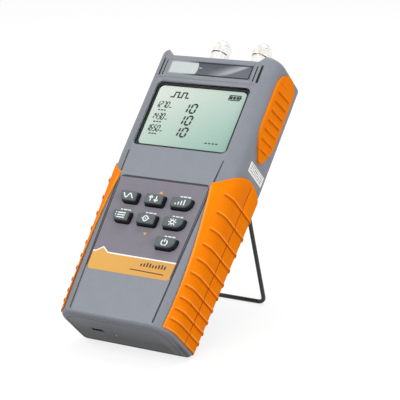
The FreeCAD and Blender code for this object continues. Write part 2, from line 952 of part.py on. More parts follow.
def rear_cuts():
    """Openings in the rear shell."""
    items = [
        strip(
            "bay_space", ("-bay_half_width", "bay_low"), ("bay_half_width", BAY_HIGH), f"{REAR} - 1",
            BAY_ROOF,
        )
    ]
    items.append(
        slab(
            "cover_recess", "XY_Plane",
            rectangle(
                ("-cover_half_width - panel_gap", "cover_low - panel_gap"),
                ("cover_half_width + panel_gap", "cover_high + panel_gap"),
            ),
            f"{REAR} - 1", "cover_thickness + 1", {"cover_radius + panel_gap": (0, 1, 2, 3)},
        )
    )
    items.append(
        strip(
            "foot_channel", (f"-bail_half_width - {BED_SIDE}", f"{BAIL_FOOT} - {BED_SIDE}"),
            (f"bail_half_width + {BED_SIDE}", f"{BAIL_FOOT} + {BED_SIDE} + bail_finger_room"),
            f"{REAR} - 1", BED_DEPTH,
        )
    )
    for side, sign in (("left", -1), ("right", 1)):
        middle = f"{sign} * bail_half_width"
        items.append(
            strip(
                f"leg_channel_{side}", (f"{middle} - ({BED_SIDE})", f"{BAIL_FOOT} - {BED_SIDE}"),
                (f"{middle} + {BED_SIDE}", f"bail_pivot + {BED_SIDE}"), f"{REAR} - 1", BED_DEPTH,
            )
        )
        hole_start = "bail_pin_end - panel_gap" if sign > 0 else "-bail_half_width"
        items.append(
            rod(
                f"pin_hole_{side}", "x", (hole_start, "bail_pivot", "-bail_pivot_depth"),
                "wire_radius + pin_clearance", "bail_half_width - bail_pin_end + panel_gap",
            )
        )
    for turn, (side, place) in enumerate(screw_places(), start=1):
        items.append(
            rod(
                f"head_sink_{turn}", "z", (side, place, f"{REAR} - 1"), "screw_head_radius + panel_gap",
                "screw_sink + screw_head_height + 1",
            )
        )
        items.append(
            rod(f"rear_hole_{turn}", "z", (side, place, f"{REAR} - 1"), "screw_radius", "case_depth")
        )
    items.append(
        rod(
            "cover_thread", "z", ("0", "cover_screw_place", f"{REAR} - 1"), "screw_radius",
            "cover_screw_length + cover_screw_head + screw_end_room",
        )
    )
    return items


rear_block = box(
    "rear_block", ("-tool_reach", "-tool_spare", f"{REAR} - tool_spare"),
    ("tool_reach", f"{CASE_TOP} + tool_spare", PARTING),
)
rear_stock = fuse("rear_stock", common("rear_half", hollow_case, rear_block), *rear_additions())
sub_part("rear_shell", cut("rear_body", rear_stock, *rear_cuts(), *side_seats))


# ---------------------------------------------------------------- end panels and battery cover

PORTS = (("left", "-port_side"), ("right", "port_side"))
PORT_SEAT = "case_length + port_flange_height"


def port_holes():
    """Holes in the top panel for the port tails and the flange screws."""
    holes = []
    for side, across in PORTS:
        start = "case_length - top_panel_thickness - 1"
        holes.append(
            rod(
                f"port_hole_{side}", "y", (across, start, "-port_depth"), "port_tail_radius + panel_gap",
                "top_panel_thickness + 2",
            )
        )
        for turn, sign in enumerate((-1, 1), start=1):
            place = (f"{across} + {sign} * port_screw_side", start, "-port_depth")
            holes.append(
                rod(
                    f"port_screw_hole_{side}_{turn}", "y", place, "port_screw_radius",
                    "top_panel_thickness + 2",
                )
            )
    return holes


top_plate = box(
    "top_plate", ("-top_panel_half_width", "case_length - top_panel_thickness", "-top_panel_rear"),
    ("top_panel_half_width", "case_length", "-top_panel_front"),
)
sub_part("top_panel", cut("top_panel_body", top_plate, *port_holes()))


def socket_box(name, grow, low, high):
    """Box of the charging socket's section, grown outwards by an amount."""
    return box(
        name, (
            f"socket_side - socket_width / 2 - ({grow})", low,
            f"-socket_depth - socket_height / 2 - ({grow})",
        ),
        (
            f"socket_side + socket_width / 2 + ({grow})", high,
            f"-socket_depth + socket_height / 2 + ({grow})",
        ),
    )


end_plate = slab(
    "end_plate", "XZ_Plane", end_panel_corners("0"), "-end_panel_thickness", "end_panel_thickness",
    {"end_panel_radius": (0, 1), "end_panel_front_radius": (2, 3)},
)
lamp_hole = rod(
    "lamp_hole", "y", ("lamp_side", "-1", "-lamp_depth"), "lamp_radius + socket_gap / 2",
    "end_panel_thickness + 2",
)
sub_part(
    "end_panel",
    cut(
        "end_panel_body", end_plate,
        socket_box("socket_slot", "socket_gap", "-1", "end_panel_thickness + 1"), lamp_hole,
    ),
)

cover_plate = slab(
    "cover_plate", "XY_Plane", rectangle(
        ("-cover_half_width", "cover_low"), ("cover_half_width", "cover_high"),
    ),
    REAR, "cover_thickness", {"cover_radius": (0, 1, 2, 3)},
)
cover_cuts = [
    rod("cover_hole", "z", ("0", "cover_screw_place", f"{REAR} - 1"), "screw_radius", "cover_thickness + 2"),
    rod(
        "cover_head_sink", "z", ("0", "cover_screw_place", f"{REAR} - 1"),
        "screw_head_radius + panel_gap", "cover_screw_head + 1",
    ),
]
for turn in range(int(size("cover_grips"))):
    low = f"cover_low + ({turn} + 2) * cover_grip_pitch"
    cover_cuts.append(
        strip(
            f"cover_grip_{turn + 1}", ("-cover_half_width / 2", low),
            ("cover_half_width / 2", f"{low} + cover_grip_pitch / 3"), f"{REAR} - 1",
            f"{REAR} + groove_depth",
        )
    )
sub_part("battery_cover", cut("battery_cover_body", cover_plate, *cover_cuts))


# ---------------------------------------------------------------- display, name strip and keypad

WINDOW_LOW = "-window_inset - window_thickness"
sub_part("display_window", display_plate("window_plate", "-panel_gap", WINDOW_LOW, "window_thickness"))
mask_plate = display_plate("mask_plate", "-panel_gap", FACE_INSIDE, f"{WINDOW_LOW} + wall")
sub_part(
    "display_mask",
    cut("mask_frame", mask_plate, display_plate("mask_opening", "-mask_border", "-wall - 1", "wall + 1")),
)
sub_part("lcd_glass", display_plate("lcd_plate", "-panel_gap", "-wall - lcd_thickness", "lcd_thickness"))
sub_part(
    "backlight",
    display_plate("backlight_block", "backlight_rim", BOARD_FACE, f"-wall - lcd_thickness - ({BOARD_FACE})"),
)
sub_part("name_plate", name_plate("name_strip", "0", "-name_recess", "name_thickness"))

overlay_sheet = slab(
    "overlay_sheet", "XY_Plane", keypad_corners("0"), "-keypad_recess", "overlay_thickness",
    {"keypad_radius": (0, 1, 2, 3)},
)
key_holes = [doc.getObject(f"{key}_hole") for key, *_ in key_grid()]
sub_part("keypad_overlay", cut("overlay_body", overlay_sheet, *key_holes))


def key(name, column, row, cut_corner):
    """Push key: a rounded cap above a flange that the face wall holds in."""
    foot = "-wall - key_play - key_flange"
    cap = slab(
        f"{name}_cap", "XY_Plane", key_corners(column, row, "0"), foot, f"key_proud - ({foot})",
        key_radii(cut_corner, "0"),
    )
    round_edges(cap, f"{name}_crown", "key_edge_radius", in_plane("z", cap.Shape.BoundBox.ZMax), CHAMFER)
    flange = slab(
        f"{name}_flange", "XY_Plane", key_corners(column, row, "key_flange_margin"), foot, "key_flange",
        {"key_radius": (0, 1, 2, 3)},
    )
    return fuse(f"{name}_body", cap, flange)


for name, column, row, cut_corner in key_grid():
    sub_part(name, key(name, column, row, cut_corner))


def key_switch(name, column, row):
    """Small tactile switch on the board under a key."""
    middle = f"key_row_top - {row} * key_row_pitch"
    half = "switch_width / 2"
    shoulder = f"{BOARD_FACE} + switch_base_height"
    case = box(
        f"{name}_case", (f"key_{column} - {half}", f"{middle} - {half}", BOARD_FACE),
        (f"key_{column} + {half}", f"{middle} + {half}", shoulder),
    )
    plunger = rod(
        f"{name}_plunger", "z", (f"key_{column}", middle, shoulder), "switch_width / 4",
        "switch_height - switch_base_height",
    )
    return fuse(name, case, plunger)


sub_part(
    "key_switches",
    *[key_switch(f"switch_{row}_{column}", column, row) for _, column, row, _ in key_grid()],
)
sub_part(
    "main_board",
    box(
        "board_sheet", ("-board_half_width", "board_low", BOARD_BACK),
        ("board_half_width", "board_high", BOARD_FACE),
    ),
)


# ---------------------------------------------------------------- batteries and their contacts

CELL_COUNT = 3
CELL_START = f"{BAY_HIGH} - contact_thickness - cell_length - cell_cap_length"
CELL_AXIS = f"{COVER_SEAT} + cell_radius + cell_room"
contacts = []
for turn in range(CELL_COUNT):
    across = f"({turn} - 1) * cell_pitch"
    can = rod(f"cell_can_{turn + 1}", "y", (across, CELL_START, CELL_AXIS), "cell_radius", "cell_length")
    tip = rod(
        f"cell_tip_{turn + 1}", "y", (across, f"{CELL_START} + cell_length", CELL_AXIS),
        "cell_cap_radius", "cell_cap_length",
    )
    sub_part(f"battery_{turn + 1}", fuse(f"cell_{turn + 1}", can, tip))
    for end, low in (("tip", f"{BAY_HIGH} - contact_thickness"), ("spring", "bay_low")):
        contact = box(
            f"{end}_contact_{turn + 1}", (
                f"{across} - contact_width / 2", low, f"{CELL_AXIS} - contact_width / 2",
            ),
            (
                f"{across} + contact_width / 2", f"{low} + contact_thickness",
                f"{CELL_AXIS} + contact_width / 2",
            ),
        )
        if end == "spring":
            spring = rod(
                f"spring_{turn + 1}", "y", (across, "bay_low + contact_thickness", CELL_AXIS),
                "spring_radius", f"{CELL_START} - bay_low - contact_thickness",
            )
            contact = fuse(f"sprung_contact_{turn + 1}", contact, spring)
        contacts.append(contact)
sub_part("battery_contacts", *contacts)


# ---------------------------------------------------------------- optical ports with their dust caps


def turned(name, corners, across, depth):
    """Body turned about the case's long direction from a half section."""
    body = doc.addObject("PartDesign::Body", name)
    sketch = outline_sketch(body, f"{name}_section", "XY_Plane", corners, "0")
    item = body.newObject("PartDesign::Revolution", f"{name}_turning")
    item.Profile = sketch
    item.ReferenceAxis = (sketch, ["V_Axis"])
    item.Angle = 360
    bind(body, Placement__Base__x=across, Placement__Base__z=depth)
    doc.recompute()
    return body


def adapter(side, across):
    """Optical port: screwed-down flange with a threaded barrel outside and a tail inside."""
    collar_top = f"{PORT_SEAT} + port_collar_height"
    barrel_top = f"{PORT_SEAT} + port_barrel_height"
    tail_end = "case_length - port_tail_length"
    section = [
        ("port_sleeve_radius", tail_end),
        ("port_tail_radius", tail_end),
        ("port_tail_radius", "case_length"),
        ("port_collar_radius", "case_length"),
        ("port_collar_radius", collar_top),
        ("port_barrel_radius", collar_top),
        ("port_barrel_radius", barrel_top),
        ("port_sleeve_radius", barrel_top),
    ]
    barrel = turned(f"barrel_{side}", section, across, "-port_depth")
    flange = slab(
        f"flange_{side}", "XZ_Plane",
        rectangle(
            (f"{across} - port_flange_width / 2", "-port_depth - port_flange_depth / 2"),
            (f"{across} + port_flange_width / 2", "-port_depth + port_flange_depth / 2"),
        ),
        f"-({PORT_SEAT})", "port_flange_height", {"port_flange_depth / 2 - port_flange_flat": (0, 1, 2, 3)},
    )
    holes = [
        rod(
            f"flange_bore_{side}", "y", (across, "case_length - 1", "-port_depth"), "port_sleeve_radius",
            "port_flange_height + 2",
        )
    ]
    for turn, sign in enumerate((-1, 1), start=1):
        place = (f"{across} + {sign} * port_screw_side", "case_length - 1", "-port_depth")
        holes.append(
            rod(f"flange_hole_{side}_{turn}", "y", place, "port_screw_radius", "port_flange_height + 2")
        )
    return cut(f"adapter_{side}", fuse(f"adapter_stock_{side}", barrel, flange), *holes)


def dust_cap(side, across):
    """Cap with a plain skirt, a grip ring and a tapered crown, bored to push over the barrel."""
    foot = f"{PORT_SEAT} + port_collar_height"
    bore = "port_barrel_radius + cap_fit"
    bore_top = f"{PORT_SEAT} + port_barrel_height + panel_gap"
    section = [
        (bore, foot),
        ("cap_skirt_radius", foot),
        ("cap_skirt_radius", f"{foot} + cap_skirt_height"),
        ("cap_ring_radius", f"{foot} + cap_skirt_height"),
        ("cap_ring_radius", f"{foot} + cap_skirt_height + cap_ring_height"),
        ("cap_top_radius", f"{foot} + cap_height"),
        ("0", f"{foot} + cap_height"),
        ("0", bore_top),
        (bore, bore_top),
    ]
    body = turned(f"cap_{side}_body", section, across, "-port_depth")
    round_edges(
        body, f"cap_{side}_crown", "cap_crown_radius", in_plane("y", body.Tip.Shape.BoundBox.YMax),
        CHAMFER,
    )
    return body


port_screws = []
for side, across in PORTS:
    sub_part(f"{side}_adapter", adapter(side, across))
    detector = rod(
        f"detector_can_{side}", "y",
        (across, "case_length - port_tail_length - detector_length", "-port_depth"), "detector_radius",
        "detector_length",
    )
    sub_part(f"{side}_detector", detector)
    sub_part(f"{side}_dust_cap", dust_cap(side, across))
    for turn, sign in enumerate((-1, 1), start=1):
        middle = f"{across} + {sign} * port_screw_side"
        head = rod(
            f"port_head_{side}_{turn}", "y", (middle, PORT_SEAT, "-port_depth"), "port_screw_head",
            "port_screw_head / 2",
        )
        shank = rod(
            f"port_shank_{side}_{turn}", "y",
            (middle, "case_length - top_panel_thickness", "-port_depth"), "port_screw_radius",
            "port_flange_height + top_panel_thickness",
        )
        port_screws.append(fuse(f"port_screw_{side}_{turn}", head, shank))
sub_part("port_screws", *port_screws)


# ---------------------------------------------------------------- case screws


def rear_screw(name, side, place, head_floor, head_height, length):
    """Slotted pan-head screw driven from the rear."""
    head = rod(f"{name}_head", "z", (side, place, head_floor), "screw_head_radius", head_height)
    shank = rod(f"{name}_shank", "z", (side, place, f"{head_floor} + {head_height}"), "screw_radius", length)
    slot = box(
        f"{name}_slot", (f"{side} - screw_head_radius", f"{place} - screw_slot / 2", f"{head_floor} - 1"),
        (f"{side} + screw_head_radius", f"{place} + screw_slot / 2", f"{head_floor} + {head_height} / 3"),
    )
    return cut(name, fuse(f"{name}_blank", head, shank), slot)


screws = [
    rear_screw(
        f"case_screw_{turn}", side, place, f"{REAR} + screw_sink", "screw_head_height", "screw_length",
    )
    for turn, (side, place) in enumerate(screw_places(), start=1)
]
sub_part("case_screws", *screws)
sub_part(
    "cover_screw",
    rear_screw(
        "cover_screw_body", "0", "cover_screw_place", REAR, "cover_screw_head", "cover_screw_length",
    ),
)


# ---------------------------------------------------------------- charging socket, lamp, small board, label

socket_inner = socket_box("socket_inside", "-socket_shell", "-1", "panel_gap + socket_length - socket_shell")
tongue = box(
    "socket_tongue", ("socket_side - socket_width / 3", "panel_gap + socket_shell", "-socket_depth"),
    (
        "socket_side + socket_width / 3", "panel_gap + socket_length - socket_shell / 2",
        "-socket_depth + socket_shell * 2",
    ),
)
socket_case = cut(
    "socket_case", socket_box("socket_outside", "0", "panel_gap", "panel_gap + socket_length"),
    socket_inner,
)
sub_part("charging_socket", fuse("socket_body", socket_case, tongue))
lens = rod("lamp_lens", "y", ("lamp_side", "0", "-lamp_depth"), "lamp_radius", "end_panel_thickness + lamp_gap")
holder = box(
    "lamp_holder", (
        "lamp_side - lamp_block / 2", "end_panel_thickness + lamp_gap", "-lamp_depth - lamp_block / 2",
    ),
    ("lamp_side + lamp_block / 2", "end_panel_thickness + lamp_gap + lamp_block_length", SOCKET_TOP),
)
sub_part("status_lamp", fuse("lamp_body", lens, holder))
sub_part(
    "port_board",
    box(
        "port_board_sheet", ("port_board_left", "foot_wall", SOCKET_TOP),
        ("port_board_right", "foot_wall + port_board_length", PORT_BOARD_TOP),
    ),
)
sub_part(
    "side_label",
    box(
        "label_sheet", ("half_width", "label_low", "-label_rear"),
        ("half_width + label_thickness", "label_high", "-label_front"),
    ),
)


# ---------------------------------------------------------------- wire bail


def bail_path(body):
    """Spine of the folded bail: pin, leg, foot bar, leg, pin, with round bends."""
    half = size("bail_half_width")
    pin = size("bail_pin_end")
    high = size("bail_pivot")
    low = high - size("bail_leg")
    sketch = body.newObject("Sketcher::SketchObject", "bail_spine")
    sketch.AttachmentSupport = [(origin_plane(body, "XY_Plane"), "")]
    sketch.MapMode = "FlatFace"
    bind(sketch, AttachmentOffset__Base__z="-bail_pivot_depth")
    corners = [
        Vector(x, y, 0)
        for x, y in ((-pin, high), (-half, high), (-half, low), (half, low), (half, high), (pin, high))
    ]
    begin = corners[0]
    for before, corner, after in zip(corners, corners[1:], corners[2:]):
        reach = size("bail_bend") if corner.y < high else size("bail_pin_bend")
        entry = corner + (before - corner).normalize() * reach
        leave = corner + (after - corner).normalize() * reach
        centre = entry + leave - corner
        middle = centre + (corner - centre).normalize() * reach
        sketch.addGeometry(Part.LineSegment(begin, entry), False)
        sketch.addGeometry(Part.Arc(entry, middle, leave), False)
        begin = leave
    sketch.addGeometry(Part.LineSegment(begin, corners[-1]), False)
    return sketch


def wire_bail():
    """Bent wire stand in its folded place."""
    body = doc.addObject("PartDesign::Body", "bail_wire")
    spine = bail_path(body)
    ring = body.newObject("Sketcher::SketchObject", "bail_section")
    ring.AttachmentSupport = [(origin_plane(body, "YZ_Plane"), "")]
    ring.MapMode = "FlatFace"
    bind(ring, AttachmentOffset__Base__z="-bail_pin_end")
    centre = Vector(size("bail_pivot"), -size("bail_pivot_depth"), 0)
    ring.addGeometry(Part.Circle(centre, Vector(0, 0, 1), size("wire_radius")), False)
    pipe = body.newObject("PartDesign::AdditivePipe", "bail_pipe")
    doc.recompute()
    pipe.Profile = ring
    pipe.Spine = (spine, [f"Edge{turn}" for turn in range(1, len(spine.Geometry) + 1)])
    doc.recompute()
    return body


sub_part("bail_stand", wire_bail())


# ---------------------------------------------------------------- placement and output


def bail_swing():
    """Turn of the bail from its folded to its open place about its pins."""
    pivot = Vector(0, size("bail_pivot"), -size("bail_pivot_depth"))
    return Placement(Vector(), Rotation(Vector(1, 0, 0), size("bail_open_angle")), pivot)


def lean_angle():
    """Lean at which the rounded rear edge of the case and the bail's foot bar touch one floor."""
    edge = Vector(0, size("end_radius"), size("end_radius") - size("case_depth"))
    folded_foot = Vector(0, size("bail_pivot") - size("bail_leg"), -size("bail_pivot_depth"))
    span = bail_swing().multVec(folded_foot) - edge
    rise = size("wire_radius") - size("end_radius")
    return math.degrees(math.asin(rise / span.Length) - math.atan2(span.z, span.y))


def stand_up():
    """Lean every sub-part and set the origin under the middle of the whole, on the floor."""
    lean = Placement(Vector(), Rotation(Vector(1, 0, 0), lean_angle()))
    turns = {label: lean for label in PARTS}
    turns["bail_stand"] = lean.multiply(bail_swing())
    whole = FreeCAD.BoundBox()
    for label, item in PARTS.items():
        whole.add(item.Shape.transformed(turns[label].Matrix, True).optimalBoundingBox(False))
    shift = Placement(Vector(-whole.Center.x, -whole.Center.y, -whole.ZMin), Rotation())
    for label, item in PARTS.items():
        item.Placement = shift.multiply(turns[label]).multiply(item.Placement)
    print("lean", lean_angle(), "shift", shift.Base, "whole", whole)


def main():
    """Recompute, check and write every sub-part."""
    doc.recompute()
    stand_up()
    doc.recompute()
    for item in doc.Objects:
        if {"Invalid", "Error"} & set(item.State):
            raise RuntimeError(f"{item.Name} failed: {item.State}")
    os.makedirs("parts", exist_ok=True)
    for label, item in PARTS.items():
        shape = item.Shape
        if shape.isNull() or not shape.isValid():
            raise RuntimeError(f"{label} has no valid shape")
        shape.exportStep(f"parts/{label}.step")
        spread = shape.optimalBoundingBox(False)
        corners = (spread.XMin, spread.XMax, spread.YMin, spread.YMax, spread.ZMin, spread.ZMax)
        print(label, len(shape.Solids), round(shape.Volume, 1), [round(corner, 2) for corner in corners])


main()
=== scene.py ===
"""Hand-held optical power meter leaning on its wire bail: finishes, keys, dust caps, print and studio.

Lengths are millimetres in the instrument's own flat frame: x across the case, y up its length from
the lower end, z out of its face.  The frame's joints say how that flat frame leans in the world.
"""

import json
import logging
import math
from collections.abc import Mapping, Sequence
from dataclasses import dataclass, field
from enum import Enum
from typing import ClassVar

import bmesh
import bpy
import numpy as np
from mathutils import Matrix, Vector


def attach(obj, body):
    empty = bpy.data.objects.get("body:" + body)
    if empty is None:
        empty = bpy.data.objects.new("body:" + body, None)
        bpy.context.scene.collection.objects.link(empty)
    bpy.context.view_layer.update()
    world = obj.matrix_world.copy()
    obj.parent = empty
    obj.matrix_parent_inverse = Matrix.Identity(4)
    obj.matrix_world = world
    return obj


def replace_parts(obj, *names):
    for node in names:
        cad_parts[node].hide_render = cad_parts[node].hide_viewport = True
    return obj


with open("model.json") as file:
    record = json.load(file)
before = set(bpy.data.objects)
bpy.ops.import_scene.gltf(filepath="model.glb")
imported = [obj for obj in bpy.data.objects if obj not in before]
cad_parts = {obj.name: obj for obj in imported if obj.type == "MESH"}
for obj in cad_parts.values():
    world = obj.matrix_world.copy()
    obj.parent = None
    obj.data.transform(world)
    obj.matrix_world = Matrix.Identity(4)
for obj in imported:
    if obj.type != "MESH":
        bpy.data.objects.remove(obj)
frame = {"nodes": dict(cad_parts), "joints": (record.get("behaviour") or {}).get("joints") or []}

LOG = logging.getLogger("power_meter")
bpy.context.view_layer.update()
# The body that carries the case.
METER = "meter"
MILLIMETRE = 0.001
Colour = tuple[float, float, float]
Point = tuple[float, float]


def srgb(red: int, green: int, blue: int) -> Colour:
    """Linear colour of a screen colour.

    A share of up to 0.04045 is divided by 12.92.  A larger one has 0.055 added, is divided by 1.055
    and goes to the power of 2.4.

    Args:
        red: Red part, from 0 to 255.
        green: Green part.
        blue: Blue part.

    Returns:
        The three linear parts, from 0 to 1.
    """
    shares = [part / 255 for part in (red, green, blue)]
    return tuple(
        share / 12.92 if share <= 0.04045 else ((share + 0.055) / 1.055) ** 2.4 for share in shares
    )


# ---------------------------------------------------------------- place in the world


@dataclass(frozen=True)
class Stance:
    """How the flat frame stands: leaned about the x axis by an angle, then moved.

    Attributes:
        lean: Angle from flat, in radians.
        shift: Move after the lean, in millimetres.
    """

    lean: float
    shift: tuple[float, float, float]

    @classmethod
    def from_joints(cls, joints: Sequence[Mapping], pivot_up: float, pivot_depth: float) -> "Stance":
        """Work the stance out from a cap's pull and the bail's hinge.

        Args:
            joints: The frame's joints.
            pivot_up: Distance of the bail's pins up the case.
            pivot_depth: Depth of the bail's pins behind the face.

        Returns:
            The stance that brings the flat frame's pins onto the hinge.
        """
        by_name = {joint["name"]: joint for joint in joints}
        pull = by_name["left_cap_pull"]["axis"]
        lean = math.atan2(pull[2], pull[1])
        turned = Matrix.Rotation(lean, 3, "X") @ Vector((0, pivot_up, -pivot_depth))
        hinge = Vector(by_name["bail_hinge"]["pos_m"]) / MILLIMETRE
        return cls(lean, tuple(hinge - turned))

    @property
    def matrix(self) -> Matrix:
        """Flat frame to world, in millimetres."""
        return Matrix.Translation(self.shift) @ Matrix.Rotation(self.lean, 4, "X")

    def to_world(self, points: np.ndarray) -> np.ndarray:
        """Points of the flat frame as world points in metres."""
        whole = np.array(self.matrix)
        return (points @ whole[:3, :3].T + whole[:3, 3]) * MILLIMETRE

    def place(self, point: Sequence[float]) -> Vector:
        """One point of the flat frame as a world point in metres."""
        return self.matrix @ Vector(point) * MILLIMETRE


STANCE = Stance.from_joints(frame["joints"], pivot_up=110.2, pivot_depth=35.5)


# ---------------------------------------------------------------- shader values


class Socket:
    """Output of a shader node that takes part in Python arithmetic."""

    kind = "ShaderNodeMath"

    def __init__(self, graph: "Graph", link: bpy.types.NodeSocket) -> None:
        """Keep the graph and the node's output."""
        self.graph = graph
        self.link = link

    def apply(self, operation: str, *others: object) -> "Socket":
        """Send this output, then the others, through one operation of its Math node."""
        entries = dict(enumerate((self, *others)))
        return type(self)(self.graph, self.graph.node(self.kind, {"operation": operation}, entries).link)

    def reversed(self, operation: str, other: object) -> "Socket":
        """Send the other value first and this output second."""
        entries = {0: other, 1: self}
        return type(self)(self.graph, self.graph.node(self.kind, {"operation": operation}, entries).link)

    def __add__(self, other: object) -> "Socket":
        """Sum."""
        return self.apply("ADD", other)

    def __radd__(self, other: object) -> "Socket":
        """Sum with this output second."""
        return self.reversed("ADD", other)

    def __sub__(self, other: object) -> "Socket":
        """Difference."""
        return self.apply("SUBTRACT", other)

    def __rsub__(self, other: object) -> "Socket":
        """Difference with this output second."""
        return self.reversed("SUBTRACT", other)

    def __mul__(self, other: object) -> "Socket":
        """Product."""
        return self.apply("MULTIPLY", other)

    def __rmul__(self, other: object) -> "Socket":
        """Product with this output second."""
        return self.reversed("MULTIPLY", other)

    def __truediv__(self, other: object) -> "Socket":
        """Quotient."""
        return self.apply("DIVIDE", other)

    def __rtruediv__(self, other: object) -> "Socket":
        """Quotient with this output second."""
        return self.reversed("DIVIDE", other)

    def __abs__(self) -> "Socket":
        """Size without sign."""
        return self.apply("ABSOLUTE")

    def below(self, limit: object, blur: float = 0.05) -> "Socket":
        """Mask that is 1 under a limit and falls to 0 across a narrow blur."""
        return ((limit - self) / blur + 0.5).apply("MAXIMUM", 0.0).apply("MINIMUM", 1.0)

    def above(self, limit: object, blur: float = 0.05) -> "Socket":
        """Mask that is 1 over a limit."""
        return ((self - limit) / blur + 0.5).apply("MAXIMUM", 0.0).apply("MINIMUM", 1.0)

    def within(self, low: float, high: float, blur: float = 0.05) -> "Socket":
        """Mask that is 1 between two limits."""
        return self.above(low, blur) * self.below(high, blur)


class Triple(Socket):
    """Vector or colour output, which goes through Vector Math."""

    kind = "ShaderNodeVectorMath"


class Graph:
    """Node tree of one material, or of the world."""

    def __init__(self, name: str, world: bool = False) -> None:
        """Start an empty tree.

        Args:
            name: Name of the material or world.
            world: Whether the tree is a world's.
        """
        self.owner = (bpy.data.worlds if world else bpy.data.materials).new(name)
        self.last = "ShaderNodeOutputWorld" if world else "ShaderNodeOutputMaterial"
        self.owner.use_nodes = True
        self.tree = self.owner.node_tree
        self.tree.nodes.clear()

    def node(
        self, kind: str, settings: Mapping[str, object], entries: Mapping, output: str | int = 0,
    ) -> Socket:
        """Add any node.

        Args:
            kind: The node's type.
            settings: Its own properties, such as a Math node's operation.
            entries: Values or outputs for its sockets, by name, identifier or number.
            output: Name, identifier or number of the output to give back.

        Returns:
            The chosen output.
        """
        made = self.tree.nodes.new(kind)
        for name, value in settings.items():
            setattr(made, name, value)
        for name, value in entries.items():
            socket = self.find(made.inputs, name)
            if isinstance(value, Socket):
                self.tree.links.new(value.link, socket)
            elif socket.type == "RGBA":
                socket.default_value = (*value, 1.0)
            else:
                socket.default_value = value
        return Socket(self, self.find(made.outputs, output))

    @staticmethod
    def find(sockets: Sequence, key: str | int) -> bpy.types.NodeSocket:
        """Find one socket of a node.

        Args:
            sockets: The node's inputs or outputs.
            key: The socket's identifier, name or number.

        Returns:
            The socket.
        """
        if isinstance(key, int):
            return sockets[key]
        return next(socket for socket in sockets if key in (socket.identifier, socket.name))

    def mix(self, share: Socket | float, first: object, second: object) -> Triple:
        """Mix two colours.

        Args:
            share: Share of the second colour, from 0 to 1.
            first: Colour or output at a share of 0.
            second: Colour or output at a share of 1.

        Returns:
            The mixed colour.
        """
        entries = {"Factor_Float": share, "A_Color": first, "B_Color": second}
        settings = {"data_type": "RGBA", "clamp_factor": True}
        return Triple(self, self.node("ShaderNodeMix", settings, entries, "Result_Color").link)

    def flat_place(self) -> Triple:
        """Turn Object coordinates back into the flat frame.

        Returns:
            Place on the piece in the flat frame, in millimetres.
        """
        coordinates = self.node("ShaderNodeTexCoord", {}, {}, "Object")
        back = STANCE.matrix.inverted()
        entries = {
            "Vector": coordinates,
            "Location": tuple(back.to_translation()),
            "Rotation": tuple(back.to_euler()),
            "Scale": (1 / MILLIMETRE,) * 3,
        }
        return Triple(self, self.node("ShaderNodeMapping", {"vector_type": "POINT"}, entries).link)

    def axes(self, place: Triple) -> tuple[Socket, Socket, Socket]:
        """The three parts of a place."""
        return tuple(self.node("ShaderNodeSeparateXYZ", {}, {"Vector": place}, axis) for axis in "XYZ")

    def noise(self, place: Triple, size: float, detail: float = 2.0) -> Socket:
        """Soft noise between 0 and 1 whose lumps are about a size across."""
        entries = {"Vector": place, "Scale": 1 / size, "Detail": detail}
        return self.node("ShaderNodeTexNoise", {}, entries, "Fac")

    def bump(self, height: Socket, depth: float) -> Socket:
        """Normal of a surface raised by a height field of a depth in millimetres."""
        entries = {"Height": height, "Distance": depth * MILLIMETRE, "Strength": 1.0}
        return self.node("ShaderNodeBump", {}, entries, "Normal")

    def end(self, shader: Socket) -> bpy.types.Material | bpy.types.World:
        """End in a shader.

        Args:
            shader: The shader's output.

        Returns:
            The finished material or world.
        """
        out = self.tree.nodes.new(self.last)
        self.tree.links.new(shader.link, out.inputs["Surface"])
        return self.owner

    def seen(self, *rays: str) -> Socket:
        """Mask that is 1 for some kinds of ray.

        Args:
            rays: Names of Light Path's outputs.

        Returns:
            The largest of those outputs.
        """
        masks = [self.node("ShaderNodeLightPath", {}, {}, ray) for ray in rays]
        whole = masks[0]
        for mask in masks[1:]:
            whole = whole.apply("MAXIMUM", mask)
        return whole


# ---------------------------------------------------------------- finishes


Surface = dict[str, object]
# Painted shade deep in a groove or gap.
GAP_SHADE = srgb(16, 17, 20)


def rounded_reach(side: Socket, rise: Socket, half: Point, corner: float) -> Socket:
    """Distance outside the corner centres of a rounded rectangle.

    It is the root of two squares added up: how far each distance from the middle passes half the
    side less the corner's radius.  Along the outline it equals that radius.

    Args:
        side: Distance from the middle across.
        rise: Distance from the middle along.
        half: Half the width and half the height.
        corner: Radius of the corners.

    Returns:
        The distance, in millimetres.
    """
    past_side = (abs(side) - (half[0] - corner)).apply("MAXIMUM", 0.0)
    past_rise = (abs(rise) - (half[1] - corner)).apply("MAXIMUM", 0.0)
    return (past_side * past_side + past_rise * past_rise).apply("SQRT")


@dataclass(frozen=True)
class Finish:
    """Base of every finish.

    Attributes:
        name: Name of the material.
    """

    name: str

    def surface(self, graph: Graph, place: Triple) -> Surface:
        """Say what the Principled surface gets.

        Args:
            graph: The material's nodes.
            place: Place in the flat frame.

        Returns:
            Values and outputs by the socket's name.
        """
        raise NotImplementedError

    def build(self) -> bpy.types.Material:
        """Make the material.

        Returns:
            The finished material.
        """
        graph = Graph(self.name)
        shader = graph.node("ShaderNodeBsdfPrincipled", {}, self.surface(graph, graph.flat_place()), "BSDF")
        return graph.end(shader)


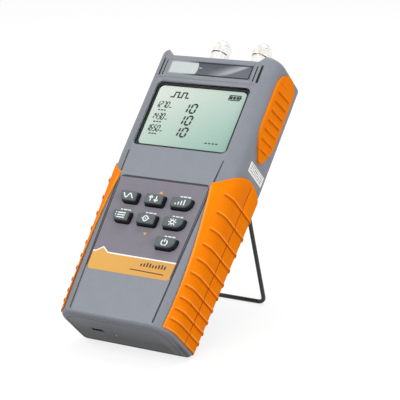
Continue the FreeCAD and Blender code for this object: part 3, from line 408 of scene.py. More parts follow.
@dataclass(frozen=True)
class Moulded(Finish):
    """Moulded plastic or rubber with a fine grain and a faint mottle.

    Attributes:
        colour: Main colour.
        shade: Colour of the darker mottle.
        roughness: Middle roughness.
        grain: Size of the grain.
        depth: Height of the grain.
        specular: Level of the gloss.
        cloud: Size of the wide clouds of mottle.
        speck: Size of the small clouds of mottle.
        handling: Size of the patches that handling has smoothed.
    """

    colour: Colour
    shade: Colour
    roughness: float = 0.5
    grain: float = 0.35
    depth: float = 0.012
    specular: float = 0.4
    cloud: float = 9.0
    speck: float = 1.1
    handling: float = 14.0

    def tint(self, graph: Graph, place: Triple) -> Triple:
        """Mottle the main colour with clouds of two sizes.

        Args:
            graph: The material's nodes.
            place: Place in the flat frame.

        Returns:
            The colour.
        """
        clouds = graph.noise(place, self.cloud, 3.0) * 0.55 + graph.noise(place, self.speck) * 0.45
        return graph.mix((clouds - 0.35) * 2.4, self.colour, self.shade)

    def surface(self, graph: Graph, place: Triple) -> Surface:
        """Lay grain and wear over the tint.

        Args:
            graph: The material's nodes.
            place: Place in the flat frame.

        Returns:
            Values and outputs by the socket's name.
        """
        grain = graph.noise(place, self.grain, 3.0)
        wear = graph.noise(place, self.handling, 4.0)
        return {
            "Base Color": self.tint(graph, place),
            "Roughness": wear * 0.12 + grain * 0.06 + (self.roughness - 0.09),
            "Specular IOR Level": self.specular,
            "Normal": graph.bump(grain, self.depth),
        }


@dataclass(frozen=True)
class CaseShell(Moulded):
    """Case plastic with painted shade in the face grooves and on its lower end.

    Attributes:
        foot_line: Place of a long groove across the case at its lower end.
        slope: How far the groove moves outwards for each millimetre up the case.
        reach: Lower and upper ends of the long grooves.
        short: Places across the case of the short grooves beside the name strip.
        short_reach: Lower and upper ends of the short grooves.
        groove_floor: Lowest and highest place of the grooves' shade out of the face.
        painted_foot_shade: Colour of the painted shade on the lower end, strongest towards its rear.
    """

    foot_line: float = 26.4
    slope: float = 0.0448
    reach: Point = (3.0, 105.2)
    short: Point = (30.2, 32.8)
    short_reach: Point = (157.5, 169.6)
    groove_floor: Point = (-1.5, -0.25)
    painted_foot_shade: Colour = srgb(34, 35, 39)

    def tint(self, graph: Graph, place: Triple) -> Triple:
        """Paint shade into the grooves and onto the lower end.

        Args:
            graph: The material's nodes.
            place: Place in the flat frame.

        Returns:
            The colour.
        """
        across, along, out = graph.axes(place)
        side = abs(across)
        from_long = abs(side - (along * self.slope + self.foot_line))
        long_line = from_long.below(0.8, 0.3) * along.within(*self.reach, 0.3)
        from_short = abs(side - self.short[0]).apply("MINIMUM", abs(side - self.short[1]))
        short_line = from_short.below(0.7, 0.2) * along.within(*self.short_reach, 0.3)
        # Painted shade in the long and short grooves.
        ink = long_line.apply("MAXIMUM", short_line) * out.within(*self.groove_floor, 0.15)
        # Painted shade on the lower end, strongest towards its rear.
        foot = along.below(0.9, 0.8) * out.below(-14.0, 18.0)
        foot_shaded = graph.mix(foot * 0.7, super().tint(graph, place), self.painted_foot_shade)
        return graph.mix(ink * 0.92, foot_shaded, GAP_SHADE)


@dataclass(frozen=True)
class EndPlate(Moulded):
    """Case plastic of the end panel: painted shade that darkens towards its rear, and painted shade in the
    gap along its outline.

    Attributes:
        half: Half the panel's width and half its depth.
        middle: Place of its middle out of the face.
        corner: Radius of its front corners.
        gap: Width of the painted shade along the gap.
        painted_rear_shade: Colour of the painted shade towards the rear.
        gap_shade_colour: Colour of the painted shade in the gap.
    """

    half: Point = (32.3, 14.75)
    middle: float = -18.75
    corner: float = 8.5
    gap: float = 0.45
    painted_rear_shade: Colour = srgb(28, 29, 33)
    gap_shade_colour: Colour = srgb(24, 25, 28)

    def tint(self, graph: Graph, place: Triple) -> Triple:
        """Paint shade over the rear part and in the gap along the rounded outline.

        Args:
            graph: The material's nodes.
            place: Place in the flat frame.

        Returns:
            The colour.
        """
        across, _, out = graph.axes(place)
        reach = rounded_reach(across, out - self.middle, self.half, self.corner)
        # Painted shade in the gap along the rounded outline.
        line = reach.above(self.corner - self.gap, 0.2) * out.above(self.middle - 4.0, 3.0)
        # Painted shade, darker towards the rear.
        rear_share = (self.middle + self.half[1] - out) / (self.half[1] * 2)
        rear_shaded = graph.mix(rear_share * 1.35 + 0.05, super().tint(graph, place), self.painted_rear_shade)
        return graph.mix(line * 0.8, rear_shaded, self.gap_shade_colour)


@dataclass(frozen=True)
class GripRubber(Moulded):
    """Soft grip: painted shade under each rib and in the seam, painted highlights on each crest and the
    front rim.

    The ribs' pitch shrinks by one ratio from rib to rib, so the number of ribs passed at a place is
    the logarithm of what is left of the pitch, to the base of that ratio.  The front edge is a
    parabola through its half distances at the foot, the middle and the crown.

    Attributes:
        first: Place of the top rib up the case.
        pitch: Distance from the top rib to the next.
        ratio: Each pitch divided by the one above it.
        front: Place of the ribs' front ends out of the face.
        seam: Place of the seam out of the face.
        rim: Half distance between the grips' front edges at the foot, the middle and the crown.
        crown: Place of the front edges' upper ends.
        crest_highlight: Colour of the painted highlights on the crests and the front rim.
        painted_shade: Colour of the painted shade under the ribs and in the seam.
    """

    first: float = 86.4
    pitch: float = 11.3
    ratio: float = 0.93
    front: float = -3.4
    seam: float = -22.0
    rim: tuple[float, float, float] = (32.6, 33.6, 30.2)
    crown: float = 88.0
    crest_highlight: Colour = srgb(252, 176, 84)
    painted_shade: Colour = srgb(172, 64, 0)

    def tint(self, graph: Graph, place: Triple) -> Triple:
        """Paint shade under the ribs and in the seam, and highlights on the crests and the front rim.

        Args:
            graph: The material's nodes.
            place: Place in the flat frame.

        Returns:
            The colour.
        """
        across, along, out = graph.axes(place)
        left = along * ((1 - self.ratio) / self.pitch) + (1 - self.first * (1 - self.ratio) / self.pitch)
        passed = left.apply("MAXIMUM", 0.01).apply("LOGARITHM", self.ratio)
        below = (passed - passed.apply("ROUND")) * left * self.pitch
        on_rib = out.below(self.front, 0.6) * along.below(self.first + 2.0, 0.5)
        # Painted shade under each rib and painted highlight on its crest.
        dim = below.within(0.4, 1.2, 0.35) * on_rib
        light = below.within(-0.75, 0.1, 0.35) * on_rib
        # Painted shade in the seam.
        seam = abs(out - self.seam).below(0.4, 0.2) * along.below(self.crown + 13.0, 0.5)
        # Painted highlight along the front rim.
        foot, middle, top = self.rim
        share = along / self.crown
        straight = share * (4 * middle - 3 * foot - top)
        bow = foot + straight + share * share * (2 * foot + 2 * top - 4 * middle)
        rim = (abs(across) - bow).below(0.9, 0.5) * out.above(-2.5, 1.0) * along.below(self.crown, 1.0)
        plain = super().tint(graph, place)
        lit = graph.mix((light * 0.5).apply("MAXIMUM", rim * 0.45), plain, self.crest_highlight)
        return graph.mix((dim * 0.4).apply("MAXIMUM", seam * 0.7), lit, self.painted_shade)


@dataclass(frozen=True)
class PadRubber(Moulded):
    """Leaf-shaped pad whose short slats carry a line of shade.

    Attributes:
        first: Place of the top slat.
        pitch: Distance between slats.
        slant: Fall of a slat for each millimetre towards the face.
        rear: Place out of the face from which a slat's fall counts.
        reach: Lower and upper ends of the slats up the case.
        span: Rear and front ends of the slats out of the face.
        painted_shade: Colour of the painted shade.
    """

    first: float = 163.5
    pitch: float = 6.2
    slant: float = 0.148
    rear: float = -37.5
    reach: Point = (116.0, 166.5)
    span: Point = (-27.5, -12.0)
    painted_shade: Colour = srgb(176, 70, 0)

    def tint(self, graph: Graph, place: Triple) -> Triple:
        """Paint a line of shade along each slat's lower side.

        Args:
            graph: The material's nodes.
            place: Place in the flat frame.

        Returns:
            The colour.
        """
        _, along, out = graph.axes(place)
        turns = (along + (out - self.rear) * self.slant - self.first) / self.pitch
        near = (turns - turns.apply("ROUND")) * self.pitch
        middle = along.within(*self.reach, 1.5) * out.within(*self.span, 1.5)
        # Painted shade along each slat's lower side.
        dim = near.within(-0.75, 0.05, 0.35) * middle
        return graph.mix(dim * 0.42, super().tint(graph, place), self.painted_shade)


@dataclass(frozen=True)
class KeyRubber(Moulded):
    """Key rubber that is slate on top, with painted shade making it nearly black down its sides.

    Attributes:
        side: Colour of the painted shade down the sides.
        brim: Place out of the face where the rounded upper edge starts.
    """

    side: Colour = srgb(22, 25, 26)
    brim: float = 2.45

    def tint(self, graph: Graph, place: Triple) -> Triple:
        """Painted side shade that turns to the top's colour over the rounded edge."""
        _, _, out = graph.axes(place)
        # Painted shade darkens the sides below the rounded edge.
        return graph.mix(out.above(self.brim, 0.5), self.side, super().tint(graph, place))


@dataclass(frozen=True)
class Metal(Finish):
    """Plated or plain metal with fine turning marks.

    Attributes:
        colour: Main colour.
        stain: Colour of faint warm patches.
        roughness: Middle roughness.
        marks: Size of the marks across the case.
        squeeze: How much finer the marks are up the case.
        depth: Height of the marks.
        patch: Size of the patches.
    """

    colour: Colour
    stain: Colour
    roughness: float = 0.25
    marks: float = 0.5
    squeeze: float = 9.0
    depth: float = 0.004
    patch: float = 6.0

    def tint(self, graph: Graph, place: Triple) -> Triple:
        """Main colour with faint warm patches."""
        patches = graph.noise(place, self.patch, 3.0)
        return graph.mix((patches - 0.45) * 3.0, self.colour, self.stain)

    def surface(self, graph: Graph, place: Triple) -> Surface:
        """Lay turning marks over the tint.

        Args:
            graph: The material's nodes.
            place: Place in the flat frame.

        Returns:
            Values and outputs by the socket's name.
        """
        marks = graph.noise(place * (1.0, self.squeeze, 1.0), self.marks)
        return {
            "Base Color": self.tint(graph, place),
            "Metallic": 1.0,
            "Roughness": marks * 0.2 + (self.roughness - 0.1),
            "Normal": graph.bump(marks, self.depth),
        }


@dataclass(frozen=True)
class CapPlating(Metal):
    """Bright plating with painted dark reflections and shade in the turned corners.

    Attributes:
        corners: Places up the case of the corners that get painted dark reflections and shade.
        dark_reflection: Colour of the painted dark reflections and shade.
    """

    corners: tuple[float, ...] = (179.7, 181.3, 189.4, 194.9, 198.35)
    dark_reflection: Colour = srgb(96, 84, 66)

    def tint(self, graph: Graph, place: Triple) -> Triple:
        """Paint dark reflections and shade as broken lines in the corners.

        Args:
            graph: The material's nodes.
            place: Place in the flat frame.

        Returns:
            The colour.
        """
        _, along, _ = graph.axes(place)
        near = abs(along - self.corners[0])
        for corner in self.corners[1:]:
            near = near.apply("MINIMUM", abs(along - corner))
        # Painted dark reflections and shade in the turned corners.
        dark = near.below(0.22, 0.2) * graph.noise(place, 3.5, 1.0).above(0.46, 0.1)
        return graph.mix(dark * 0.85, super().tint(graph, place), self.dark_reflection)


@dataclass(frozen=True)
class Ink(Finish):
    """Printed or driven mark of one ink with a faint unevenness.

    Attributes:
        colour: Colour of the ink.
        roughness: Lowest roughness.
        patch: Size of the uneven patches.
        fade: Share of the colour left where the ink is thin.
    """

    colour: Colour
    roughness: float = 0.55
    patch: float = 0.8
    fade: float = 0.82

    def surface(self, graph: Graph, place: Triple) -> Surface:
        """Fade the ink in patches.

        Args:
            graph: The material's nodes.
            place: Place in the flat frame.

        Returns:
            Values and outputs by the socket's name.
        """
        patches = graph.noise(place, self.patch)
        faded = tuple(part * self.fade for part in self.colour)
        return {
            "Base Color": graph.mix(patches * 0.5, self.colour, faded),
            "Roughness": patches * 0.15 + self.roughness,
            "Specular IOR Level": 0.3,
        }


@dataclass(frozen=True)
class ClearWindow(Finish):
    """Clear display window: see-through straight on, with the studio reflected at a slant.

    Attributes:
        tint: Colour of what is seen through it.
        strength: Share of reflection at the flattest view.
        steepness: Power by which the reflection falls off towards a straight view.
    """

    tint: Colour = (0.97, 0.985, 0.98)
    strength: float = 0.25
    steepness: float = 4.0

    def build(self) -> bpy.types.Material:
        """Mix a clear and a glossy shader by the slant.

        Returns:
            The finished material.
        """
        graph = Graph(self.name)
        gloss = graph.node("ShaderNodeBsdfGlossy", {}, {"Color": (1.0, 1.0, 1.0), "Roughness": 0.04})
        clear = graph.node("ShaderNodeBsdfTransparent", {}, {"Color": self.tint})
        slant = graph.node("ShaderNodeLayerWeight", {}, {"Blend": 0.5}, "Facing")
        share = slant.apply("POWER", self.steepness) * self.strength
        return graph.end(graph.node("ShaderNodeMixShader", {}, {0: share, 1: clear, 2: gloss}))


@dataclass(frozen=True)
class DisplayGlass(Finish):
    """Liquid-crystal glass: a pale lit field with round corners inside a black surround.

    Attributes:
        half: Half the width and half the height of the lit field.
        middle: Place of the field's middle up the case.
        corner: Corner radius of the field.
        rim: Width of the painted highlight line at the field's upper right.
        warm: Colour of the field's upper left end.
        cool: Colour of its lower right end.
        black: Colour of the surround.
        rim_highlight: Colour of the painted highlight line.
        glow: Strength of the lit field's painted glow.
    """

    half: Point = (29.2, 20.2)
    middle: float = 131.2
    corner: float = 3.0
    rim: float = 0.45
    warm: Colour = srgb(208, 211, 204)
    cool: Colour = srgb(150, 179, 169)
    black: Colour = srgb(10, 11, 13)
    rim_highlight: Colour = srgb(196, 190, 208)
    glow: float = 0.12

    def surface(self, graph: Graph, place: Triple) -> Surface:
        """Light the field with a painted glow and leave the surround black.

        Args:
            graph: The material's nodes.
            place: Place in the flat frame.

        Returns:
            Values and outputs by the socket's name.
        """
        across, along, _ = graph.axes(place)
        rise = along - self.middle
        reach = rounded_reach(across, rise, self.half, self.corner)
        lit = reach.below(self.corner, 0.2)
        way = across / self.half[0] - rise / self.half[1]
        cells = graph.noise(place, 0.35)
        pale = way * 0.3 + (cells - 0.5) * 0.06 + 0.5
        field_colour = graph.mix(pale, self.warm, self.cool)
        # Painted highlight just outside the lit field.
        line = reach.within(self.corner, self.corner + self.rim, 0.15) * way.above(0.3, 0.6)
        surround = graph.mix(line * 0.75, self.black, self.rim_highlight)
        return {
            "Base Color": graph.mix(lit, surround, field_colour),
            "Roughness": cells * 0.1 + 0.45,
            "Specular IOR Level": 0.0,
            # Painted glow of the lit field.
            "Emission Color": graph.mix(lit, (0.0, 0.0, 0.0), field_colour),
            "Emission Strength": self.glow,
        }


@dataclass(frozen=True)
class NameStrip(Finish):
    """Glossy strip with a pale end, a light sweep over its dark field and painted shade in the gap, left
    without a name.

    Attributes:
        half_width: Half the strip's width.
        pale_end: Place across the case where the pale end stops.
        low: Lower edge of the strip.
        height: Height of the strip.
        gap: Width of the painted shade in the gap round the strip.
        light: Colour of the sweep and flare, which are partly print and partly painted highlight.
        upper: Colour of the dark field's upper part.
        lower: Colour of its lower part.
        pale: The pale end's two colours.
    """

    half_width: float = 27.6
    pale_end: float = -9.4
    low: float = 158.8
    height: float = 9.5
    gap: float = 0.95
    light: Colour = srgb(212, 216, 220)
    lower: Colour = srgb(96, 99, 108)
    upper: Colour = srgb(60, 62, 70)
    pale: tuple[Colour, Colour] = (srgb(196, 203, 202), srgb(184, 193, 191))

    def surface(self, graph: Graph, place: Triple) -> Surface:
        """Paint the pale end, the sweep and small flare (partly print, partly painted highlight) and the
        gap's painted shade.

        Args:
            graph: The material's nodes.
            place: Place in the flat frame.

        Returns:
            Values and outputs by the socket's name.
        """
        across, along, _ = graph.axes(place)
        rise = (along - self.low) / self.height
        bulge = rise * (1.0 - rise) * 6.0
        pale = across.below(bulge + self.pale_end, 0.5)
        sweep = across * across * 0.0011 + across * 0.012 - 0.05 - rise
        # The sweep and flare: partly print, partly painted highlight.
        glow = sweep.below(0.0, 0.2) * sweep.above(-0.3, 0.6) * across.above(6.0, 14.0) * 0.56
        flare = (abs(rise - 0.56) * 16.0 + abs(across + 6.4) * 0.5).below(0.5, 1.0) * 0.8
        clouds = graph.noise(place, 2.5)
        depth = clouds * 0.3 + rise * 0.7 - across.above(16.0, 22.0) * 0.6
        dark = graph.mix(depth, self.lower, self.upper)
        field_colour = graph.mix(glow.apply("MAXIMUM", flare), dark, self.light)
        # Painted shade in the gap round the strip.
        gap_x = abs(across).above(self.half_width - self.gap, 0.25)
        gap_y = abs(rise - 0.5).above(0.5 - self.gap / self.height, 0.03)
        gap = gap_x.apply("MAXIMUM", gap_y) * (across.above(-14.0, 8.0) * 0.5 + 0.5)
        strip = graph.mix(pale, field_colour, graph.mix(clouds, *self.pale))
        return {
            "Base Color": graph.mix(gap * 0.85, strip, GAP_SHADE),
            "Roughness": clouds * 0.08 + 0.28,
            "Specular IOR Level": 0.25,
            "Coat Weight": 0.12,
            "Coat Roughness": 0.15,
        }


@dataclass(frozen=True)
class KeypadFilm(Finish):
    """Keypad film: grey field, white line with one peak, and a warm band below it.

    Attributes:
        low: Lower edge of the film.
        high: Upper edge of the film.
        half_low: Half the film's width at its lower edge.
        flare: Growth of that half width for each millimetre up the case.
        left_height: Height of the line at its left end.
        left_side: Place of that end across the case.
        fall: How far the line falls for each millimetre to the right.
        peak_side: Place of the peak across the case.
        peak_height: Height of the peak over the line.
        peak_slope: Steepness of the peak's sides.
        line_width: Width of the white line.
        line_colour: Colour of the line.
        band: Colours of the band's left and right ends.
        grey: The field's two colours.
        gap_shade_colour: Colour of the painted shade in the gap round the film.
    """

    low: float = 28.1
    high: float = 88.8
    half_low: float = 27.3
    flare: float = 0.0395
    left_height: float = 39.3
    left_side: float = -27.8
    fall: float = 0.006
    peak_side: float = -21.5
    peak_height: float = 3.0
    peak_slope: float = 0.72
    line_width: float = 0.8
    line_colour: Colour = srgb(240, 240, 238)
    band: tuple[Colour, Colour] = (srgb(216, 161, 70), srgb(206, 150, 70))
    grey: tuple[Colour, Colour] = (srgb(122, 118, 129), srgb(108, 104, 114))
    gap_shade_colour: Colour = srgb(16, 16, 19)

    def surface(self, graph: Graph, place: Triple) -> Surface:
        """Print the field, the line and the band, and shade the gap.

        Args:
            graph: The material's nodes.
            place: Place in the flat frame.

        Returns:
            Values and outputs by the socket's name.
        """
        across, along, _ = graph.axes(place)
        base = self.left_height - (across - self.left_side) * self.fall
        peak = (self.peak_height - abs(across - self.peak_side) * self.peak_slope).apply("MAXIMUM", 0.0)
        edge = base + peak
        below = along.below(edge, 0.12)
        line = abs(along - edge).below(self.line_width / 2, 0.12)
        grain = graph.noise(place, 0.45, 3.0)
        band = graph.mix((across + 28.0) / 56.0, *self.band)
        grey = graph.mix(graph.noise(place, 6.0) * 0.5 + grain * 0.3, *self.grey)
        side = (along - self.low) * self.flare + self.half_low
        # Painted shade in the gap along the film's sides and top edge.
        gap = (abs(across) - side).above(-0.5, 0.2).apply("MAXIMUM", along.above(self.high - 1.25, 0.3))
        printed = graph.mix(line, graph.mix(below, grey, band), self.line_colour)
        return {
            "Base Color": graph.mix(gap * 0.92, printed, self.gap_shade_colour),
            "Roughness": grain * 0.12 + 0.42,
            "Specular IOR Level": 0.35,
            "Normal": graph.bump(grain, 0.006),
        }


@dataclass(frozen=True)
class PrintedLabel(Finish):
    """White paper label with rows of short generic bars.

    Attributes:
        first_row: Lowest row up the case.
        pitch: Distance between rows.
        rows: Number of rows.
        bar: Height of a bar, as a share of the pitch.
        span: Rear and front ends of the rows out of the face.
        paper: The paper's two colours.
        ink: Colour of the bars.
    """

    first_row: float = 108.7
    pitch: float = 1.35
    rows: int = 4
    bar: float = 0.45
    span: Point = (-31.0, -14.5)
    paper: tuple[Colour, Colour] = (srgb(250, 250, 248), srgb(236, 236, 234))
    ink: Colour = srgb(46, 48, 52)

    def surface(self, graph: Graph, place: Triple) -> Surface:
        """Print the rows, broken into bars by a noise along them.

        Args:
            graph: The material's nodes.
            place: Place in the flat frame.

        Returns:
            Values and outputs by the socket's name.
        """
        _, along, out = graph.axes(place)
        turns = ((along - self.first_row) / self.pitch).apply("FRACT")
        last_row = self.first_row + self.pitch * self.rows
        row = turns.within(0.0, self.bar, 0.15) * along.within(self.first_row, last_row)
        words = graph.noise(place * (0.0, 0.9, 2.4), 1.0, 0.0).above(0.47, 0.05)
        inside = out.within(*self.span, 0.2)
        fibre = graph.noise(place, 0.6, 3.0)
        white = graph.mix(fibre * 0.5, *self.paper)
        return {
            "Base Color": graph.mix(row * words * inside * 0.95, white, self.ink),
            "Roughness": fibre * 0.15 + 0.5,
        }


@dataclass(frozen=True)
class CircuitBoard(Finish):
    """Green solder mask with copper showing through as a faint grid of tracks.

    Attributes:
        pitch: Distance between tracks.
        width: Width of a track, as a share of the pitch.
        mask: Colour of the bare mask.
        copper: Colour of the mask over copper.
    """

    pitch: float = 2.54
    width: float = 0.25
    mask: Colour = srgb(22, 92, 48)
    copper: Colour = srgb(52, 128, 70)

    def surface(self, graph: Graph, place: Triple) -> Surface:
        """Lay tracks up the board and others across it, where two noises allow them.

        Args:
            graph: The material's nodes.
            place: Place in the flat frame.

        Returns:
            Values and outputs by the socket's name.
        """
        across, along, _ = graph.axes(place)
        runs = (across / self.pitch).apply("FRACT").below(self.width, 0.1)
        links = (along / self.pitch).apply("FRACT").below(self.width, 0.1)
        tracks = runs * graph.noise(place, 4.0).above(0.5, 0.1)
        share = tracks.apply("MAXIMUM", links * graph.noise(place, 5.0).above(0.52, 0.1))
        return {
            "Base Color": graph.mix(share, self.mask, self.copper),
            "Roughness": share * 0.1 + 0.3,
        }


@dataclass(frozen=True)
class CellWrap(Finish):
    """Printed film of a battery cell: dark body, a warm top band and bare ends.

    Attributes:
        start: Lower end of the cell up the case.
        length: Length of the cell.
        band_start: Lower edge of the warm band, as a share of the length.
        body: Colour of the dark body.
        band: Colour of the warm band.
        steel: Colour of the bare ends.
    """

    start: float = 40.2
    length: float = 49.3
    band_start: float = 0.72
    body: Colour = srgb(38, 40, 44)
    band: Colour = srgb(196, 132, 58)
    steel: Colour = srgb(186, 186, 184)

    def surface(self, graph: Graph, place: Triple) -> Surface:
        """Wrap the cell and leave its two ends bare.

        Args:
            graph: The material's nodes.
            place: Place in the flat frame.

        Returns:
            Values and outputs by the socket's name.
        """
        _, along, _ = graph.axes(place)
        top = along.above(self.start + self.length * self.band_start, 0.1)
        nose = along.above(self.start + self.length - 0.2, 0.1)
        bare = nose.apply("MAXIMUM", along.below(self.start + 0.3, 0.1))
        return {
            "Base Color": graph.mix(bare, graph.mix(top, self.body, self.band), self.steel),
            "Metallic": bare,
            "Roughness": graph.noise(place, 2.0) * 0.15 + 0.28,
        }


@dataclass(frozen=True)
class Lens(Finish):
    """Small tinted lamp lens, unlit.

    Attributes:
        colour: Colour of its pale parts, which is halved in the deep ones.
        cloud: Size of those parts.
    """

    colour: Colour
    cloud: float = 1.5

    def surface(self, graph: Graph, place: Triple) -> Surface:
        """Deepen the colour in clouds.

        Args:
            graph: The material's nodes.
            place: Place in the flat frame.

        Returns:
            Values and outputs by the socket's name.
        """
        clouds = graph.noise(place, self.cloud)
        deep = tuple(part * 0.5 for part in self.colour)
        return {"Base Color": graph.mix(clouds, self.colour, deep), "Roughness": clouds * 0.1 + 0.12}


CASE_GREY = srgb(129, 133, 141)
CASE_SHADE = srgb(121, 125, 133)
GRIP_ORANGE = srgb(250, 133, 0)
GRIP_SHADE = srgb(243, 124, 0)


class Look(Enum):
    """Finish of every kind of piece on the meter."""

    CASE = CaseShell("case_plastic", CASE_GREY, CASE_SHADE, roughness=0.46)
    PLATE = EndPlate("end_panel_plastic", CASE_GREY, CASE_SHADE, roughness=0.46)
    GRIP = GripRubber("grip_rubber", GRIP_ORANGE, GRIP_SHADE, 0.6, grain=0.5, depth=0.02, specular=0.06)
    PAD = PadRubber("pad_rubber", GRIP_ORANGE, GRIP_SHADE, 0.6, grain=0.5, depth=0.02, specular=0.06)
    WINDOW = ClearWindow("clear_window")
    MASK = Moulded("window_mask", srgb(20, 21, 23), srgb(15, 16, 18), roughness=0.28, depth=0.002)
    DISPLAY = DisplayGlass("display_glass")
    WHITE = Moulded("white_plastic", srgb(224, 224, 220), srgb(212, 212, 208), roughness=0.4)
    STRIP = NameStrip("name_strip")
    FILM = KeypadFilm("keypad_film")
    KEY = KeyRubber("key_rubber", srgb(78, 90, 91), srgb(68, 79, 81), roughness=0.45, grain=0.3, depth=0.01)
    DARK = Moulded("dark_plastic", srgb(34, 35, 37), srgb(27, 28, 30), roughness=0.4)
    BOARD = CircuitBoard("circuit_board")
    CELL = CellWrap("battery_cell")
    CONTACT = Metal("spring_contact", (0.78, 0.77, 0.74), (0.70, 0.66, 0.58), roughness=0.3)
    NICKEL = Metal("nickel_plating", (0.70, 0.68, 0.65), (0.62, 0.57, 0.49), roughness=0.26)
    SHELL = Metal("socket_shell", (0.10, 0.10, 0.11), (0.06, 0.06, 0.06), roughness=0.4)
    STEEL = Metal("screw_steel", (0.42, 0.42, 0.43), (0.35, 0.34, 0.34), roughness=0.36)
    LAMP = Lens("lamp_lens", srgb(38, 62, 42))
    LABEL = PrintedLabel("side_label_paper")
    WIRE = Moulded("wire_coating", srgb(46, 44, 43), srgb(36, 34, 33), roughness=0.36, grain=0.8, depth=0.01)
    CAP = CapPlating("cap_plating", (0.88, 0.87, 0.85), (0.80, 0.75, 0.66), roughness=0.22)
    LEGEND = Ink("white_legend", srgb(238, 240, 240))
    SEGMENT = Ink("display_segment", srgb(24, 30, 28), roughness=0.3)
    MARK = Ink("orange_mark", srgb(243, 166, 60))
    PRINT = Ink("dark_print", srgb(74, 50, 28))


class Finisher:
    """Builds each look once and gives it to pieces."""

    def __init__(self) -> None:
        """Start with no material built."""
        self.built: dict[Look, bpy.types.Material] = {}

    def material(self, look: Look) -> bpy.types.Material:
        """Material of a look, built when it is first wanted.

        Args:
            look: The look.

        Returns:
            Its material.
        """
        if look not in self.built:
            self.built[look] = look.value.build()
        return self.built[look]

    def paint(self, item: bpy.types.Object, look: Look) -> None:
        """Give an object one look in its only slot.

        Args:
            item: The object.
            look: Its look.
        """
        item.data.materials.clear()
        item.data.materials.append(self.material(look))
        LOG.info("%s is finished in %s", item.name, look.value.name)


FINISHER = Finisher()


# ---------------------------------------------------------------- surfaces


# Points nearer than this become one, in metres: in a skin made here, and in a copied CAD mesh.
SAME_SPOT = 1e-7
CAD_SPOT = 2e-6
# How a copied CAD mesh is shaded: its largest smooth angle in degrees, and the pull of its large faces.
SMOOTH_ANGLE = 28.0
LARGE_FACE_PULL = 90


def show(item: bpy.types.Object) -> None:
    """Put an object into the scene."""
    bpy.context.scene.collection.objects.link(item)


@dataclass
class Form:
    """Closed skins of one piece, gathered in the flat frame.

    Attributes:
        points: Blocks of points, one block for each skin.
        faces: Corner numbers of every face.
    """

    points: list[np.ndarray] = field(default_factory=list)
    faces: list[list[int]] = field(default_factory=list)

    def add(self, rings: np.ndarray) -> "Form":
        """Join closed rings by quads and close both ends with one face each.

        The face between ring i and i + 1 at step j has the corners (i, j), (i, j + 1), (i + 1, j + 1)
        and (i + 1, j), where j + 1 comes back to 0 after the last point.

        Args:
            rings: Points by ring, then by step round the ring.

        Returns:
            This form, for chaining.
        """
        start = sum(len(block) for block in self.points)
        rows, count, _ = rings.shape
        numbers = np.arange(rows * count).reshape(rows, count) + start
        after = np.roll(numbers, -1, axis=1)
        quads = np.stack([numbers[:-1], after[:-1], after[1:], numbers[1:]], axis=-1).reshape(-1, 4)
        self.points.append(rings.reshape(-1, 3))
        self.faces += quads.tolist() + [numbers[0][::-1].tolist(), numbers[-1].tolist()]
        return self

    @classmethod
    def of(cls, skins: Sequence[np.ndarray]) -> "Form":
        """Gather several skins.

        Args:
            skins: Rings of each skin.

        Returns:
            The form.
        """
        form = cls()
        for skin in skins:
            form.add(skin)
        return form

    def build(self, name: str, body: str, look: Look, slot: str, smooth: float = 35.0) -> bpy.types.Object:
        """Make the Blender object, finish it and let it ride.

        Args:
            name: The piece's name.
            body: The body that carries it.
            look: Its finish.
            slot: Not used.
            smooth: Largest angle between faces that shade as one surface, in degrees.

        Returns:
            The object.
        """
        mesh = bpy.data.meshes.new(name)
        mesh.from_pydata(STANCE.to_world(np.concatenate(self.points)), [], self.faces)
        work = bmesh.new()
        work.from_mesh(mesh)
        bmesh.ops.remove_doubles(work, verts=work.verts, dist=SAME_SPOT)
        bmesh.ops.recalc_face_normals(work, faces=work.faces)
        work.to_mesh(mesh)
        work.free()
        return settle(mesh, name, body, look, smooth)


def settle(
    mesh: bpy.types.Mesh, name: str, body: str, look: Look, smooth: float,
) -> bpy.types.Object:
    """Shade, link, finish and carry a mesh that is already in its place.

    Args:
        mesh: The mesh, in world metres.
        name: The piece's name.
        body: The body that carries it.
        look: Its finish.
        smooth: Largest smooth angle, in degrees.

    Returns:
        The object.
    """
    mesh.shade_smooth()
    mesh.set_sharp_from_angle(angle=math.radians(smooth))
    item = bpy.data.objects.new(name, mesh)
    show(item)
    FINISHER.paint(item, look)
    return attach(item, body)


def smooth_copy(node: str, body: str, look: Look) -> bpy.types.Object:
    """Stand a merged, smooth-shaded copy of a CAD node in for its loose triangles.

    Args:
        node: The CAD node.
        body: The body that carries it.
        look: Its finish.

    Returns:
        The copy, whose flat faces keep flat shading up to their rounded edges.
    """
    mesh = frame["nodes"][node].data.copy()
    work = bmesh.new()
    work.from_mesh(mesh)
    bmesh.ops.remove_doubles(work, verts=work.verts, dist=CAD_SPOT)
    bmesh.ops.dissolve_degenerate(work, edges=work.edges, dist=CAD_SPOT / 2)
    work.to_mesh(mesh)
    work.free()
    item = settle(mesh, f"{node}_skin", body, look, SMOOTH_ANGLE)
    weigh = item.modifiers.new("even_shading", "WEIGHTED_NORMAL")
    weigh.keep_sharp = True
    weigh.weight = LARGE_FACE_PULL
    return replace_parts(item, node)


